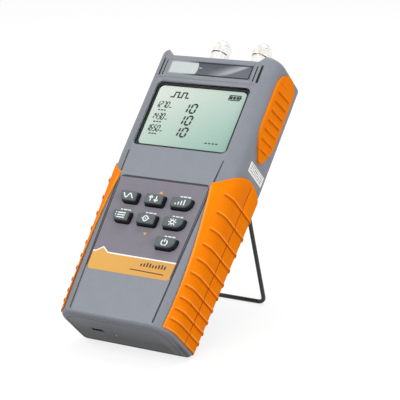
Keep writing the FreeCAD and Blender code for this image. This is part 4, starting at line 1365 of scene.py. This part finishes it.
def ribbon(
    path: Sequence[Point], width: float | Sequence[float], floor: float, ceiling: float,
) -> np.ndarray:
    """Flat bar along a path on the face, as rings of four corners.

    At each point the bar is as wide as stated across the mean direction of the runs that meet there,
    and a bend widens it by one over the cosine of half the turn, so that its sides stay parallel.

    Args:
        path: Points across and along the case.
        width: One width, or one for each point.
        floor: Lower face.
        ceiling: Upper face.

    Returns:
        Rings of four corners.
    """
    spots = np.array(path, float)
    runs = np.diff(spots, axis=0)
    runs /= np.linalg.norm(runs, axis=1, keepdims=True)
    ahead = np.vstack([runs, runs[-1:]])
    behind = np.vstack([runs[:1], runs])
    mean = ahead + behind
    mean /= np.linalg.norm(mean, axis=1, keepdims=True)
    side = np.stack([-mean[:, 1], mean[:, 0]], axis=1) / np.sum(mean * ahead, axis=1, keepdims=True)
    half = side * np.broadcast_to(np.asarray(width, float), len(spots))[:, None] / 2
    corners = (
        (spots - half, floor),
        (spots + half, floor),
        (spots + half, ceiling),
        (spots - half, ceiling),
    )
    return np.stack([np.column_stack([flat, np.full(len(flat), level)]) for flat, level in corners], axis=1)


def disc(centre: Point, radius: float, floor: float, ceiling: float, count: int = 20) -> np.ndarray:
    """Flat round dot: the centre plus the radius turned through a full circle.

    Args:
        centre: Place across and along the case.
        radius: Radius of the dot.
        floor: Lower face.
        ceiling: Upper face.
        count: Points round it.

    Returns:
        A lower and an upper ring.
    """
    turn = np.linspace(0, math.tau, count, endpoint=False)
    circle = np.column_stack([centre[0] + radius * np.cos(turn), centre[1] + radius * np.sin(turn)])
    return np.stack([np.column_stack([circle, np.full(count, level)]) for level in (floor, ceiling)])


def arc(centre: Point, radius: float, start: float, end: float, count: int) -> np.ndarray:
    """Points of an arc: the centre plus the radius turned from one angle to another.

    Args:
        centre: Centre of the arc.
        radius: Its radius.
        start: First angle, in degrees.
        end: Last angle, in degrees.
        count: Number of points.

    Returns:
        One row for each point.
    """
    turn = np.radians(np.linspace(start, end, count))
    return np.column_stack([centre[0] + radius * np.cos(turn), centre[1] + radius * np.sin(turn)])


def lathe(
    profile: np.ndarray, across: float, depth: float, count: int, flute: int | None = None,
) -> np.ndarray:
    """Surface turned about the case's long direction.

    A point of the profile with radius r at height y goes to (across + r cos t, y, depth + r sin t).
    Where flutes are asked for, r also sways by their depth times the cosine of their number times t.

    Args:
        profile: Radius, height and flute depth for each ring.
        across: Place of the axis across the case.
        depth: Place of the axis out of the face.
        count: Points round each ring.
        flute: Number of flutes, or nothing.

    Returns:
        Rings round the axis.
    """
    turn = np.linspace(0, math.tau, count, endpoint=False)[None, :]
    radius = profile[:, 0:1] + np.zeros_like(turn)
    if flute is not None:
        radius = radius + profile[:, 2:3] * (np.cos(turn * flute) - 1) / 2
    height = profile[:, 1:2] + np.zeros_like(turn)
    return np.stack([across + radius * np.cos(turn), height, depth + radius * np.sin(turn)], axis=-1)


def rounded_outline(
    half: Point, radii: Sequence[float], steps: int = 8,
) -> tuple[np.ndarray, np.ndarray, np.ndarray]:
    """Rounded rectangle about the origin, corner by corner from the lower left, anticlockwise.

    Each corner is an arc about a centre that lies its radius inside both sides, so a point is the
    centre plus the radius times the way outwards.

    Args:
        half: Half the width and half the height.
        radii: One radius for each corner.
        steps: Points on each corner's arc.

    Returns:
        Arc centres, ways outwards and radii, point by point.
    """
    signs = np.array([(-1, -1), (1, -1), (1, 1), (-1, 1)], float)
    size = np.array(radii, float)
    centres = signs * (np.array(half) - size[:, None])
    starts = np.radians([180.0, 270.0, 0.0, 90.0])
    turn = (starts[:, None] + np.linspace(0, math.pi / 2, steps)[None, :]).ravel()
    outward = np.column_stack([np.cos(turn), np.sin(turn)])
    return np.repeat(centres, steps, axis=0), outward, np.repeat(size, steps)


# ---------------------------------------------------------------- marks


@dataclass(frozen=True)
class Digits:
    """Slanted seven-segment numbers.

    SEGMENTS says which segments light for a digit, and ENDS where each segment starts and ends, in
    widths and half heights of a digit.  CUTS and TAPER give the pointed ends of a segment, in strokes:
    how far each point of its path lies inside the end, and how wide it is there.

    Attributes:
        height: Height of a digit.
        width: Width of a digit.
        stroke: Width of a segment.
        pitch: Distance from one digit to the next.
        slant: Sideways lean for each millimetre of height.
    """

    height: float
    width: float
    stroke: float
    pitch: float
    slant: float = 0.17

    SEGMENTS: ClassVar[Mapping[str, str]] = {
        "0": "abcdef", "1": "bc", "2": "abged", "3": "abgcd", "4": "fgbc",
        "5": "afgcd", "6": "afgedc", "7": "abc", "8": "abcdefg", "9": "gfabcd",
    }
    ENDS: ClassVar[Mapping[str, tuple[Point, Point]]] = {
        "a": ((0, 2), (1, 2)), "b": ((1, 2), (1, 1)), "c": ((1, 1), (1, 0)), "d": ((0, 0), (1, 0)),
        "e": ((0, 0), (0, 1)), "f": ((0, 1), (0, 2)), "g": ((0, 1), (1, 1)),
    }
    CUTS: ClassVar[Sequence[float]] = (0.12, 0.62, -0.62, -0.12)
    TAPER: ClassVar[Sequence[float]] = (0.1, 1.0, 1.0, 0.1)

    def strokes(self, text: str, left: float, low: float, floor: float, ceiling: float) -> list[np.ndarray]:
        """Pointed bars of a number.

        Args:
            text: The digits.
            left: Left edge of the first digit.
            low: Lower edge.
            floor: Lower face of the bars.
            ceiling: Upper face of the bars.

        Returns:
            One skin for each segment.
        """
        bars = []
        cuts = np.array(self.CUTS)[:, None] * self.stroke
        widths = np.array(self.TAPER) * self.stroke
        for turn, digit in enumerate(text):
            shift = left + turn * self.pitch
            for letter in self.SEGMENTS[digit]:
                begin, end = np.array(self.ENDS[letter]) * (self.width, self.height / 2)
                way = (end - begin) / np.linalg.norm(end - begin)
                path = np.array([begin, begin, end, end]) + cuts * way
                path[:, 0] += shift + path[:, 1] * self.slant
                path[:, 1] += low
                bars.append(ribbon(path, widths, floor, ceiling))
        return bars


class Icon(Enum):
    """Generic signs of the keys."""

    WAVE = "wave"
    ARROWS = "arrows"
    LEVELS = "levels"
    ROWS = "rows"
    TARGET = "target"
    SUN = "sun"
    POWER = "power"


@dataclass(frozen=True)
class Sign:
    """Draws one generic sign about a centre.

    Attributes:
        centre: Place across and along the case.
        floor: Lower face of the strokes.
        ceiling: Upper face of the strokes.
        stroke: Width of a stroke.
        scale: Enlargement of the sign.
    """

    centre: Point
    floor: float
    ceiling: float
    stroke: float = 0.66
    scale: float = 1.2

    def line(self, *spots: Point) -> np.ndarray:
        """Stroke through points given from the centre."""
        path = np.array(self.centre) + np.array(spots, float) * self.scale
        return ribbon(path, self.stroke, self.floor, self.ceiling)

    def wave(self) -> list[np.ndarray]:
        """One and a half periods of a sine."""
        side = np.linspace(-2.9, 2.9, 25)
        return [self.line(*np.column_stack([side, 1.15 * np.sin(side * 1.62)]))]

    def arrows(self) -> list[np.ndarray]:
        """Arrow up beside arrow down."""
        up = [self.line((-1.5, -1.4), (-1.5, 1.5)), self.line((-2.5, 0.4), (-1.5, 1.5), (-0.5, 0.4))]
        return up + [self.line((1.5, 1.4), (1.5, -1.5)), self.line((0.5, -0.4), (1.5, -1.5), (2.5, -0.4))]

    def levels(self) -> list[np.ndarray]:
        """Four bars that rise to the right."""
        return [
            self.line((side, -1.4), (side, -1.4 + rise))
            for side, rise in zip((-2.3, -0.8, 0.7, 2.2), (0.8, 1.5, 2.2, 2.9))
        ]

    def rows(self) -> list[np.ndarray]:
        """Three lines, each after a dot."""
        bars = [self.line((-1.6, row), (2.6, row)) for row in (1.2, 0.0, -1.2)]
        return bars + [self.line((-2.8, row), (-2.2, row)) for row in (1.2, 0.0, -1.2)]

    def rays(self, count: int, inner: float, outer: float) -> list[np.ndarray]:
        """Short strokes away from the centre, evenly turned.

        Args:
            count: Number of strokes.
            inner: Distance of their near ends.
            outer: Distance of their far ends.

        Returns:
            The strokes.
        """
        turns = np.radians(np.arange(count) * 360.0 / count)
        ways = [(math.cos(turn), math.sin(turn)) for turn in turns]
        return [self.line((inner * x, inner * y), (outer * x, outer * y)) for x, y in ways]

    def target(self) -> list[np.ndarray]:
        """Circle with a cross of short lines and a dot."""
        dot = disc(self.centre, 0.4, self.floor, self.ceiling)
        return [self.line(*arc((0, 0), 1.25, 0, 350, 24)), *self.rays(4, 1.25, 2.05), dot]

    def sun(self) -> list[np.ndarray]:
        """Ring with eight rays."""
        return [self.line(*arc((0, 0), 0.95, 0, 350, 20)), *self.rays(8, 1.45, 2.15)]

    def power(self) -> list[np.ndarray]:
        """Open ring with a stem in its gap."""
        return [self.line(*arc((0, -0.2), 1.5, 125, 415, 26)), self.line((0, 0.1), (0, 1.9))]

    def draw(self, icon: Icon) -> list[np.ndarray]:
        """Strokes of an icon."""
        return getattr(self, icon.value)()


# ---------------------------------------------------------------- keypad


@dataclass
class Keypad:
    """Rubber keys with their signs, and the small marks on the film.

    ICONS gives each key's sign.  DASHES are the left end and the length of the dashes over a key, from
    its middle, and UNDASHED names the keys that have none.

    Attributes:
        top_row: Middle of the upper row up the case.
        row_pitch: Distance between rows.
        columns: Middle of each column across the case.
        widths: Width of the keys in each column.
        height: Height of every key.
        proud: How far a key stands over the face.
        film: Upper face of the film.
        foot: Lower end of a key, under the film.
        corner: Small corner radius.
        cut_corner: Large radius of the lower outer corner.
        draft: How far a key's side leans in.
        crown: Radius of its rounded upper edge.
        dish: Depth of its hollow top.
        least: Smallest corner radius that an inset leaves.
        sign_levels: How far a sign's strokes go below the hollow's floor and above it.
        mark_levels: How far the film's marks go below its face and above it.
        dash_rise: Distance of the dashes over a key.
        dash_width: Width of a dash.
    """

    top_row: float = 74.3
    row_pitch: float = 12.65
    columns: Mapping[str, float] = field(
        default_factory=lambda: {"left": -17.0, "middle": -0.2, "right": 17.3},
    )
    widths: Mapping[str, float] = field(
        default_factory=lambda: {"left": 11.6, "middle": 12.4, "right": 13.2},
    )
    height: float = 7.2
    proud: float = 3.4
    film: float = -0.2
    foot: float = -3.1
    corner: float = 1.3
    cut_corner: float = 4.6
    draft: float = 0.5
    crown: float = 0.75
    dish: float = 0.22
    least: float = 0.05
    sign_levels: Point = (0.05, 0.17)
    mark_levels: Point = (0.02, 0.04)
    dash_rise: float = 1.55
    dash_width: float = 0.74

    ICONS: ClassVar[Mapping[str, Icon]] = {
        "key_1_left": Icon.WAVE,
        "key_1_middle": Icon.ARROWS,
        "key_1_right": Icon.LEVELS,
        "key_2_left": Icon.ROWS,
        "key_2_middle": Icon.TARGET,
        "key_2_right": Icon.SUN,
        "key_3_right": Icon.POWER,
    }
    UNDASHED: ClassVar[Sequence[str]] = ("key_1_left", "key_1_middle")
    DASHES: ClassVar[Sequence[Point]] = ((-3.4, 1.6), (-1.3, 2.3), (1.5, 1.9))

    def centre(self, name: str) -> Point:
        """Middle of a key, read from its name's row and column."""
        _, row, column = name.split("_")
        return self.columns[column], self.top_row - (int(row) - 1) * self.row_pitch

    def cap(self, name: str) -> np.ndarray:
        """Key as rings from its foot to the middle of its dished top.

        The side leans in by the draft, a quarter circle rounds its upper edge, and the top sinks by
        the dish times one less the square of the share of the way out.

        Args:
            name: The key's node.

        Returns:
            Rings of the key.
        """
        column = name.rsplit("_", 1)[1]
        large = {"left": 0, "middle": None, "right": 1}[column]
        radii = [self.cut_corner if turn == large else self.corner for turn in range(4)]
        centres, outward, sizes = rounded_outline((self.widths[column] / 2, self.height / 2), radii)
        quarter = np.linspace(0, math.pi / 2, 7)
        inset = np.concatenate([[0.0], self.draft + self.crown * (1 - np.cos(quarter))])
        level = np.concatenate([[self.foot], self.proud - self.crown * (1 - np.sin(quarter))])
        reach = np.maximum(sizes[None, :] - inset[:, None], self.least)
        excess = np.maximum(inset[:, None] - sizes[None, :] + self.least, 0.0)
        slide = excess[..., None] * -np.sign(centres)[None]
        side = centres[None] + slide + outward[None] * reach[..., None]
        share = np.linspace(0.86, 0.02, 7)[:, None, None]
        top = side[-1][None] * share
        flat = np.concatenate([side, top])
        sunk = self.proud - self.dish * (1 - share[:, 0, 0] ** 2)
        heights = np.concatenate([level, sunk])
        rings = np.concatenate([flat, np.broadcast_to(heights[:, None, None], (*flat.shape[:2], 1))], axis=2)
        return rings + np.array([*self.centre(name), 0.0])

    def dress(self) -> None:
        """Build every key with its sign, and the marks on the film."""
        top = self.proud - self.dish
        for name, icon in self.ICONS.items():
            body = f"{name}_body"
            cap = Form().add(self.cap(name)).build(f"{name}_cap", body, Look.KEY, "key")
            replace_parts(cap, name)
            sign = Sign(self.centre(name), top - self.sign_levels[0], top + self.sign_levels[1])
            Form.of(sign.draw(icon)).build(f"{name}_sign", body, Look.LEGEND, "white_plastic")
        Form.of(self.dashes()).build("film_dashes", METER, Look.LEGEND, "white_plastic")
        Form.of(self.arrow_marks()).build("film_arrows", METER, Look.MARK, "grip")
        Form.of(self.band_bars()).build("band_bars", METER, Look.PRINT, "dark_plastic")

    def mark(self, path: Sequence[Point], width: float | Sequence[float]) -> np.ndarray:
        """Thin printed bar on the film."""
        return ribbon(path, width, self.film - self.mark_levels[0], self.film + self.mark_levels[1])

    def dashes(self) -> list[np.ndarray]:
        """Three short dashes over each key that has them.

        Returns:
            One skin for each dash.
        """
        skins = []
        for name in (key for key in self.ICONS if key not in self.UNDASHED):
            across, along = self.centre(name)
            height = along + self.height / 2 + self.dash_rise
            for start, length in self.DASHES:
                left = across + start
                skins.append(self.mark([(left, height), (left + length, height)], self.dash_width))
        return skins

    def arrow_marks(self) -> list[np.ndarray]:
        """Small pointed marks above the middle column and below its second row.

        Returns:
            One skin for each mark.
        """
        side, half, widths = 1.0, 0.75, (2.6, 0.3)
        above, below = self.top_row + 5.9, self.top_row - self.row_pitch - 7.9
        return [
            self.mark([(side, above - half), (side, above + half)], widths),
            self.mark([(side, below + half), (side, below - half)], widths),
        ]

    def band_bars(self) -> list[np.ndarray]:
        """Nine level bars on the band, over a base line.

        A bar's upper end rises by the square of the sine of 0.7 times its number.

        Returns:
            One skin for each bar, then the line's.
        """
        first, pitch, foot, head, swing = 6.5, 1.9, 34.2, 35.8, 1.1
        bar_width, line_width = 0.95, 0.55
        skins = []
        for turn in range(9):
            across = first + turn * pitch
            tip = head + swing * math.sin(turn * 0.7) ** 2
            skins.append(self.mark([(across, foot), (across, tip)], bar_width))
        return skins + [self.mark([(0.5, 31.6), (22.3, 31.1)], line_width)]


# ---------------------------------------------------------------- display


@dataclass
class Display:
    """Driven segments on the liquid-crystal glass.

    Attributes:
        glass: Upper face of the glass.
        thickness: Thickness of a segment.
        rows: Lower edge of each reading's row.
        wavelengths: Small number of each row.
        readings: Large number of each row.
        small: Digits of the small numbers.
        large: Digits of the large numbers.
        small_spot: Left edge of a small number, and its height over the row's edge.
        large_spot: The same for a large number.
        minus: Left and right ends of the minus sign.
        minus_rise: Height of the minus sign over the row's edge.
        thin: Width of the minus sign.
        units: Left edge and length of the dashes under a small number.
        unit_rise: Height of those dashes over the row's edge.
        thick: Width of a dash.
        scale_row: Height of the dashes at the lower right.
        scale_lefts: Left edges of those dashes.
        scale_length: Length of one of them.
        pulse_rows: Lower and upper level of the square wave.
        cell: Left, right, lower and upper edges of the battery sign.
    """

    glass: float = -2.2
    thickness: float = 0.06
    rows: Sequence[float] = (134.1, 126.0, 117.9)
    wavelengths: Sequence[str] = ("1270", "1430", "1650")
    readings: Sequence[str] = ("10", "10", "10")
    small: Digits = Digits(height=4.0, width=1.5, stroke=0.6, pitch=2.25)
    large: Digits = Digits(height=5.9, width=3.2, stroke=1.1, pitch=5.2)
    small_spot: Point = (-27.3, 2.4)
    large_spot: Point = (-8.9, 0.4)
    minus: Point = (-17.9, -16.4)
    minus_rise: float = 2.8
    thin: float = 0.55
    units: Sequence[Point] = ((-24.6, 1.5), (-22.6, 1.5), (-20.6, 1.2))
    unit_rise: float = 0.6
    thick: float = 0.75
    scale_row: float = 115.9
    scale_lefts: Sequence[float] = (14.2, 16.5, 18.8, 21.1)
    scale_length: float = 1.5
    pulse_rows: Point = (144.1, 147.5)
    cell: tuple[float, float, float, float] = (18.4, 25.4, 145.6, 148.7)

    def dress(self) -> None:
        """Build all segments as one piece."""
        skins = []
        for low, wavelength, reading in zip(self.rows, self.wavelengths, self.readings):
            skins += self.reading_row(low, wavelength, reading)
        skins += [self.pulse(), *self.battery(), *self.scale()]
        Form.of(skins).build("display_segments", METER, Look.SEGMENT, "mask")

    def stroke(self, path: Sequence[Point], width: float) -> np.ndarray:
        """Segment along a path on the glass."""
        return ribbon(path, width, self.glass, self.glass + self.thickness)

    def reading_row(self, low: float, wavelength: str, reading: str) -> list[np.ndarray]:
        """One row: a small number, a minus sign and a large number, with dashes for the units.

        Args:
            low: Lower edge of the row.
            wavelength: The small number.
            reading: The large number.

        Returns:
            One skin for each segment.
        """
        levels = (self.glass, self.glass + self.thickness)
        skins = self.small.strokes(wavelength, self.small_spot[0], low + self.small_spot[1], *levels)
        skins += self.large.strokes(reading, self.large_spot[0], low + self.large_spot[1], *levels)
        skins.append(self.stroke([(side, low + self.minus_rise) for side in self.minus], self.thin))
        rise = low + self.unit_rise
        for left, length in self.units:
            skins.append(self.stroke([(left, rise), (left + length, rise)], self.thick))
        return skins

    def scale(self) -> list[np.ndarray]:
        """Four dashes at the lower right.

        Returns:
            One skin for each dash.
        """
        row, length = self.scale_row, self.scale_length
        return [self.stroke([(left, row), (left + length, row)], self.thick) for left in self.scale_lefts]

    def pulse(self) -> np.ndarray:
        """Square-wave sign at the upper left.

        Returns:
            Its one skin.
        """
        low, high = self.pulse_rows
        path = [(-20.0, low), (-17.6, low), (-17.2, high), (-14.6, high), (-14.9, low), (-12.4, low)]
        path += [(-12.0, high), (-9.4, high), (-9.7, low), (-7.6, low)]
        return self.stroke(path, 0.85)

    def battery(self) -> list[np.ndarray]:
        """Battery sign with three full bars at the upper right.

        Returns:
            The outline, the contact and the bars.
        """
        left, right, low, high = self.cell
        outline = [(left, low), (right, low), (right + 0.3, high), (left + 0.3, high), (left, low + 0.25)]
        skins = [self.stroke(outline, 0.62), self.stroke([(right + 0.7, 146.5), (right + 0.8, 147.9)], 0.6)]
        for turn in range(3):
            side = left + 1.35 + turn * 2.15
            skins.append(self.stroke([(side, low + 0.6), (side + 0.15, high - 0.6)], 1.75))
        return skins


# ---------------------------------------------------------------- ports and dust caps


@dataclass
class DustCaps:
    """Plated caps over the two ports.

    Attributes:
        sides: Place of each port across the case, by its body.
        depth: Place of both ports out of the face.
        foot: Lower end of a cap.
        skirt: Radius of the skirt.
        skirt_height: Height of the skirt.
        grooves: Heights over the foot of the skirt's turned grooves.
        ring: Radius of the grip ring.
        ring_height: Height of the grip ring.
        height: Height of the whole cap.
        crown: Radius of the top.
        bore: Radius of the bore.
        bore_depth: Depth of the bore.
        flutes: Number of flutes round the ring.
        flute_depth: Depth of a flute.
        count: Points round the cap.
    """

    sides: Mapping[str, float] = field(default_factory=lambda: {"left": -14.0, "right": 14.0})
    depth: float = -25.0
    foot: float = 174.7
    skirt: float = 5.2
    skirt_height: float = 14.8
    grooves: Point = (4.6, 6.2)
    ring: float = 5.9
    ring_height: float = 5.2
    height: float = 23.9
    crown: float = 3.4
    bore: float = 4.08
    bore_depth: float = 11.0
    flutes: int = 36
    flute_depth: float = 0.34
    count: int = 144

    def crown_rows(self, start: float, low: float, top: float) -> np.ndarray:
        """Rounded shoulder, along a quarter of an ellipse.

        The radius falls from its start to the crown's with the cosine of the turn, while the height
        rises with the sine.

        Args:
            start: Radius at its lower end.
            low: Upper end of the grip ring.
            top: Upper end of the cap.

        Returns:
            One row for each ring.
        """
        turn = np.linspace(0, math.pi / 2, 7)[1:]
        radius = self.crown + (start - self.crown) * np.cos(turn)
        height = low + 0.2 + (top - 0.5 - low) * np.sin(turn) * 0.9
        return np.column_stack([radius, height, np.zeros_like(turn)])

    def profile(self) -> np.ndarray:
        """Radius, height and flute depth from the mouth over the outside to the middle of the top.

        Corners are broken by short chamfers, and the skirt has its turned grooves.

        Returns:
            One row for each ring.
        """
        top = self.foot + self.height
        ring_low = self.foot + self.skirt_height
        ring_high = ring_low + self.ring_height
        start = self.skirt - 0.2
        side = [
            (self.bore, self.foot + self.bore_depth, 0),
            (self.bore, self.foot + 0.4, 0),
            (self.bore + 0.35, self.foot, 0),
            (self.skirt - 0.3, self.foot, 0),
            (self.skirt, self.foot + 0.3, 0),
        ]
        for groove in self.grooves:
            low = self.foot + groove
            side += [
                (self.skirt, low, 0),
                (self.skirt - 0.25, low + 0.2, 0),
                (self.skirt - 0.25, low + 0.6, 0),
                (self.skirt, low + 0.8, 0),
            ]
        side += [
            (self.skirt, ring_low - 0.3, 0),
            (self.skirt - 0.3, ring_low - 0.1, 0),
            (self.ring - 0.6, ring_low, 0),
            (self.ring - 0.1, ring_low + 0.3, 0.1),
            (self.ring, ring_low + 0.7, self.flute_depth),
            (self.ring, ring_high - 0.7, self.flute_depth),
            (self.ring - 0.1, ring_high - 0.3, 0.1),
            (self.ring - 0.6, ring_high, 0),
            (start, ring_high + 0.1, 0),
        ]
        tip = [
            (self.crown - 0.35, top - 0.1, 0),
            (self.crown - 0.9, top, 0),
            (1.6, top, 0),
            (1.3, top - 0.5, 0),
            (0.05, top - 0.6, 0),
        ]
        return np.vstack([np.array(side, float), self.crown_rows(start, ring_high, top), np.array(tip)])

    def dress(self) -> None:
        """Build both caps."""
        ceiling = self.foot + self.bore_depth
        inside = np.array([[0.05, ceiling + 0.1, 0], [self.bore, ceiling, 0]])
        profile = np.vstack([inside, self.profile()])
        for side, across in self.sides.items():
            form = Form().add(lathe(profile, across, self.depth, self.count, self.flutes))
            cap = form.build(f"{side}_cap_shell", f"{side}_cap", Look.CAP, "cap", smooth=30.0)
            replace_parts(cap, f"{side}_dust_cap")


# ---------------------------------------------------------------- case and inner pieces


@dataclass
class Casework:
    """Shells, grips and every other solid that keeps its own shape.

    SMOOTHED gives the look and the slot of each rounded solid, for which a smooth copy stands in, and
    KEPT the look of each solid that shows as it is.

    Attributes:
        bodies: The body of each rounded solid that doesn't ride on the meter.
    """

    bodies: Mapping[str, str] = field(default_factory=lambda: {"bail_stand": "bail"})

    SMOOTHED: ClassVar[Mapping[str, tuple[Look, str]]] = {
        "front_shell": (Look.CASE, "case"),
        "rear_shell": (Look.CASE, "case"),
        "battery_cover": (Look.CASE, "case"),
        "end_panel": (Look.PLATE, "case"),
        "left_grip": (Look.GRIP, "grip"),
        "right_grip": (Look.GRIP, "grip"),
        "left_side_pad": (Look.PAD, "grip"),
        "right_side_pad": (Look.PAD, "grip"),
        "bail_stand": (Look.WIRE, "wire"),
        "left_adapter": (Look.NICKEL, "nickel"),
        "right_adapter": (Look.NICKEL, "nickel"),
    }
    KEPT: ClassVar[Mapping[str, Look]] = {
        "top_panel": Look.CASE,
        "display_window": Look.WINDOW,
        "display_mask": Look.MASK,
        "lcd_glass": Look.DISPLAY,
        "backlight": Look.WHITE,
        "name_plate": Look.STRIP,
        "keypad_overlay": Look.FILM,
        "key_switches": Look.DARK,
        "main_board": Look.BOARD,
        "battery_1": Look.CELL,
        "battery_2": Look.CELL,
        "battery_3": Look.CELL,
        "battery_contacts": Look.CONTACT,
        "left_detector": Look.NICKEL,
        "right_detector": Look.NICKEL,
        "port_screws": Look.STEEL,
        "case_screws": Look.STEEL,
        "cover_screw": Look.STEEL,
        "charging_socket": Look.SHELL,
        "status_lamp": Look.LAMP,
        "port_board": Look.BOARD,
        "side_label": Look.LABEL,
        "left_dust_cap": Look.CAP,
        "right_dust_cap": Look.CAP,
    }

    def dress(self) -> None:
        """Finish every solid, with smooth copies where it is rounded."""
        keys = dict.fromkeys(Keypad.ICONS, Look.KEY)
        rounded = {node: look for node, (look, _) in self.SMOOTHED.items()}
        for node, look in {**self.KEPT, **keys, **rounded}.items():
            FINISHER.paint(frame["nodes"][node], look)
        for node, (look, slot) in self.SMOOTHED.items():
            smooth_copy(node, self.bodies.get(node, METER), look)


# ---------------------------------------------------------------- studio


# Rays that see the studio's white background.
BACKGROUND_RAYS = ("Is Camera Ray", "Is Glossy Ray", "Is Transmission Ray")


@dataclass(frozen=True)
class Softbox:
    """Square studio light.

    Attributes:
        name: Its name.
        place: Its place in the world, in metres.
        size: Its side, in metres.
        power: Its power, in watts.
    """

    name: str
    place: tuple[float, float, float]
    size: float
    power: float

    def hang(self, aim: Sequence[float]) -> None:
        """Hang the light so that it faces a point.

        Args:
            aim: The point in the world, in metres.
        """
        data = bpy.data.lights.new(self.name, "AREA")
        data.shape = "SQUARE"
        data.size = self.size
        data.energy = self.power
        item = bpy.data.objects.new(self.name, data)
        item.location = self.place
        item.rotation_mode = "QUATERNION"
        item.rotation_quaternion = (Vector(aim) - Vector(self.place)).to_track_quat("-Z", "Y")
        show(item)


@dataclass
class Studio:
    """Pale floor, soft lights and the camera.

    Attributes:
        camera: Place of the camera in the flat frame.
        aim: Point of the face that it looks at.
        roll: How far its upright leans to the right, in degrees.
        lens: Focal length for a frame 36 mm wide.
        fill: Strength of the even light all round.
        lamps: The lights.
        lit_point: Point in the world that the lights face, in metres.
        floor_reach: Half the floor's side, in metres.
        floor_shade: Share of light that the floor gives back where the background shows.
        floor_glow: Strength of its own light there.
        floor_plain: Share of light that it gives back to the meter.
    """

    camera: tuple[float, float, float] = (439.525, -238.685, 644.188)
    aim: tuple[float, float, float] = (26.755, 78.866, 0.0)
    roll: float = 1.02
    lens: float = 135.31
    fill: float = 0.5
    lamps: Sequence[Softbox] = (
        Softbox("key_softbox", (-0.75, -1.15, 1.35), 0.9, 16.0),
        Softbox("top_softbox", (0.15, 0.35, 1.5), 0.9, 9.0),
        Softbox("side_softbox", (1.45, -0.5, 0.42), 0.8, 12.0),
    )
    lit_point: tuple[float, float, float] = (0.0, 0.0, 0.07)
    floor_reach: float = 6.0
    floor_shade: float = 0.3
    floor_glow: float = 0.76
    floor_plain: float = 0.2

    def set_camera(self) -> None:
        """Put the camera where the meter is seen from its lower right."""
        place = STANCE.place(self.camera)
        forward = (STANCE.place(self.aim) - place).normalized()
        upright = (Vector((0, 0, 1)) - forward * forward.z).normalized()
        aside = forward.cross(upright)
        roll = math.radians(self.roll)
        upright = upright * math.cos(roll) + aside * math.sin(roll)
        aside = forward.cross(upright)
        data = bpy.data.cameras.new("studio_camera")
        data.sensor_width = 36.0
        data.lens = self.lens
        item = bpy.data.objects.new("studio_camera", data)
        turned = Matrix((aside, upright, -forward)).transposed().to_4x4()
        item.matrix_world = Matrix.Translation(place) @ turned
        show(item)
        bpy.context.scene.camera = item

    def set_world(self) -> None:
        """Even light all round, white where the camera, gloss or clear pieces see it."""
        graph = Graph("studio_world", world=True)
        seen = graph.seen(*BACKGROUND_RAYS)
        sky = {"Color": (1.0, 1.0, 1.0), "Strength": seen * (1.0 - self.fill) + self.fill}
        bpy.context.scene.world = graph.end(graph.node("ShaderNodeBackground", {}, sky))

    def floor_paper(self) -> bpy.types.Material:
        """Paper that glows for the camera, gloss and clear pieces, and is plain for other rays.

        Returns:
            The finished material.
        """
        graph = Graph("studio_paper")
        seen = graph.seen(*BACKGROUND_RAYS)
        matt = graph.node("ShaderNodeBsdfDiffuse", {}, {"Color": (self.floor_shade,) * 3})
        glow = graph.node("ShaderNodeEmission", {}, {"Color": (1.0, 1.0, 1.0), "Strength": self.floor_glow})
        both = graph.node("ShaderNodeAddShader", {}, {0: matt, 1: glow})
        plain = graph.node("ShaderNodeBsdfDiffuse", {}, {"Color": (self.floor_plain,) * 3})
        return graph.end(graph.node("ShaderNodeMixShader", {}, {0: seen, 1: plain, 2: both}))

    def add_floor(self) -> None:
        """White floor that shows the meter's soft shadow."""
        reach = self.floor_reach
        corners = [(-reach, -reach, 0.0), (reach, -reach, 0.0), (reach, reach, 0.0), (-reach, reach, 0.0)]
        mesh = bpy.data.meshes.new("studio_floor")
        mesh.from_pydata(corners, [], [(0, 1, 2, 3)])
        mesh.materials.append(self.floor_paper())
        item = bpy.data.objects.new("studio_floor", mesh)
        show(item)

    def dress(self) -> None:
        """Set the whole studio up."""
        bpy.context.scene.view_settings.view_transform = "Standard"
        self.set_camera()
        self.set_world()
        for lamp in self.lamps:
            lamp.hang(self.lit_point)
        self.add_floor()


def main() -> None:
    """Build the studio and every sub-assembly in order."""
    logging.basicConfig(level=logging.INFO, format="%(message)s")
    for assembly in (Studio(), Casework(), Keypad(), Display(), DustCaps()):
        assembly.dress()


if __name__ == "__main__":
    main()
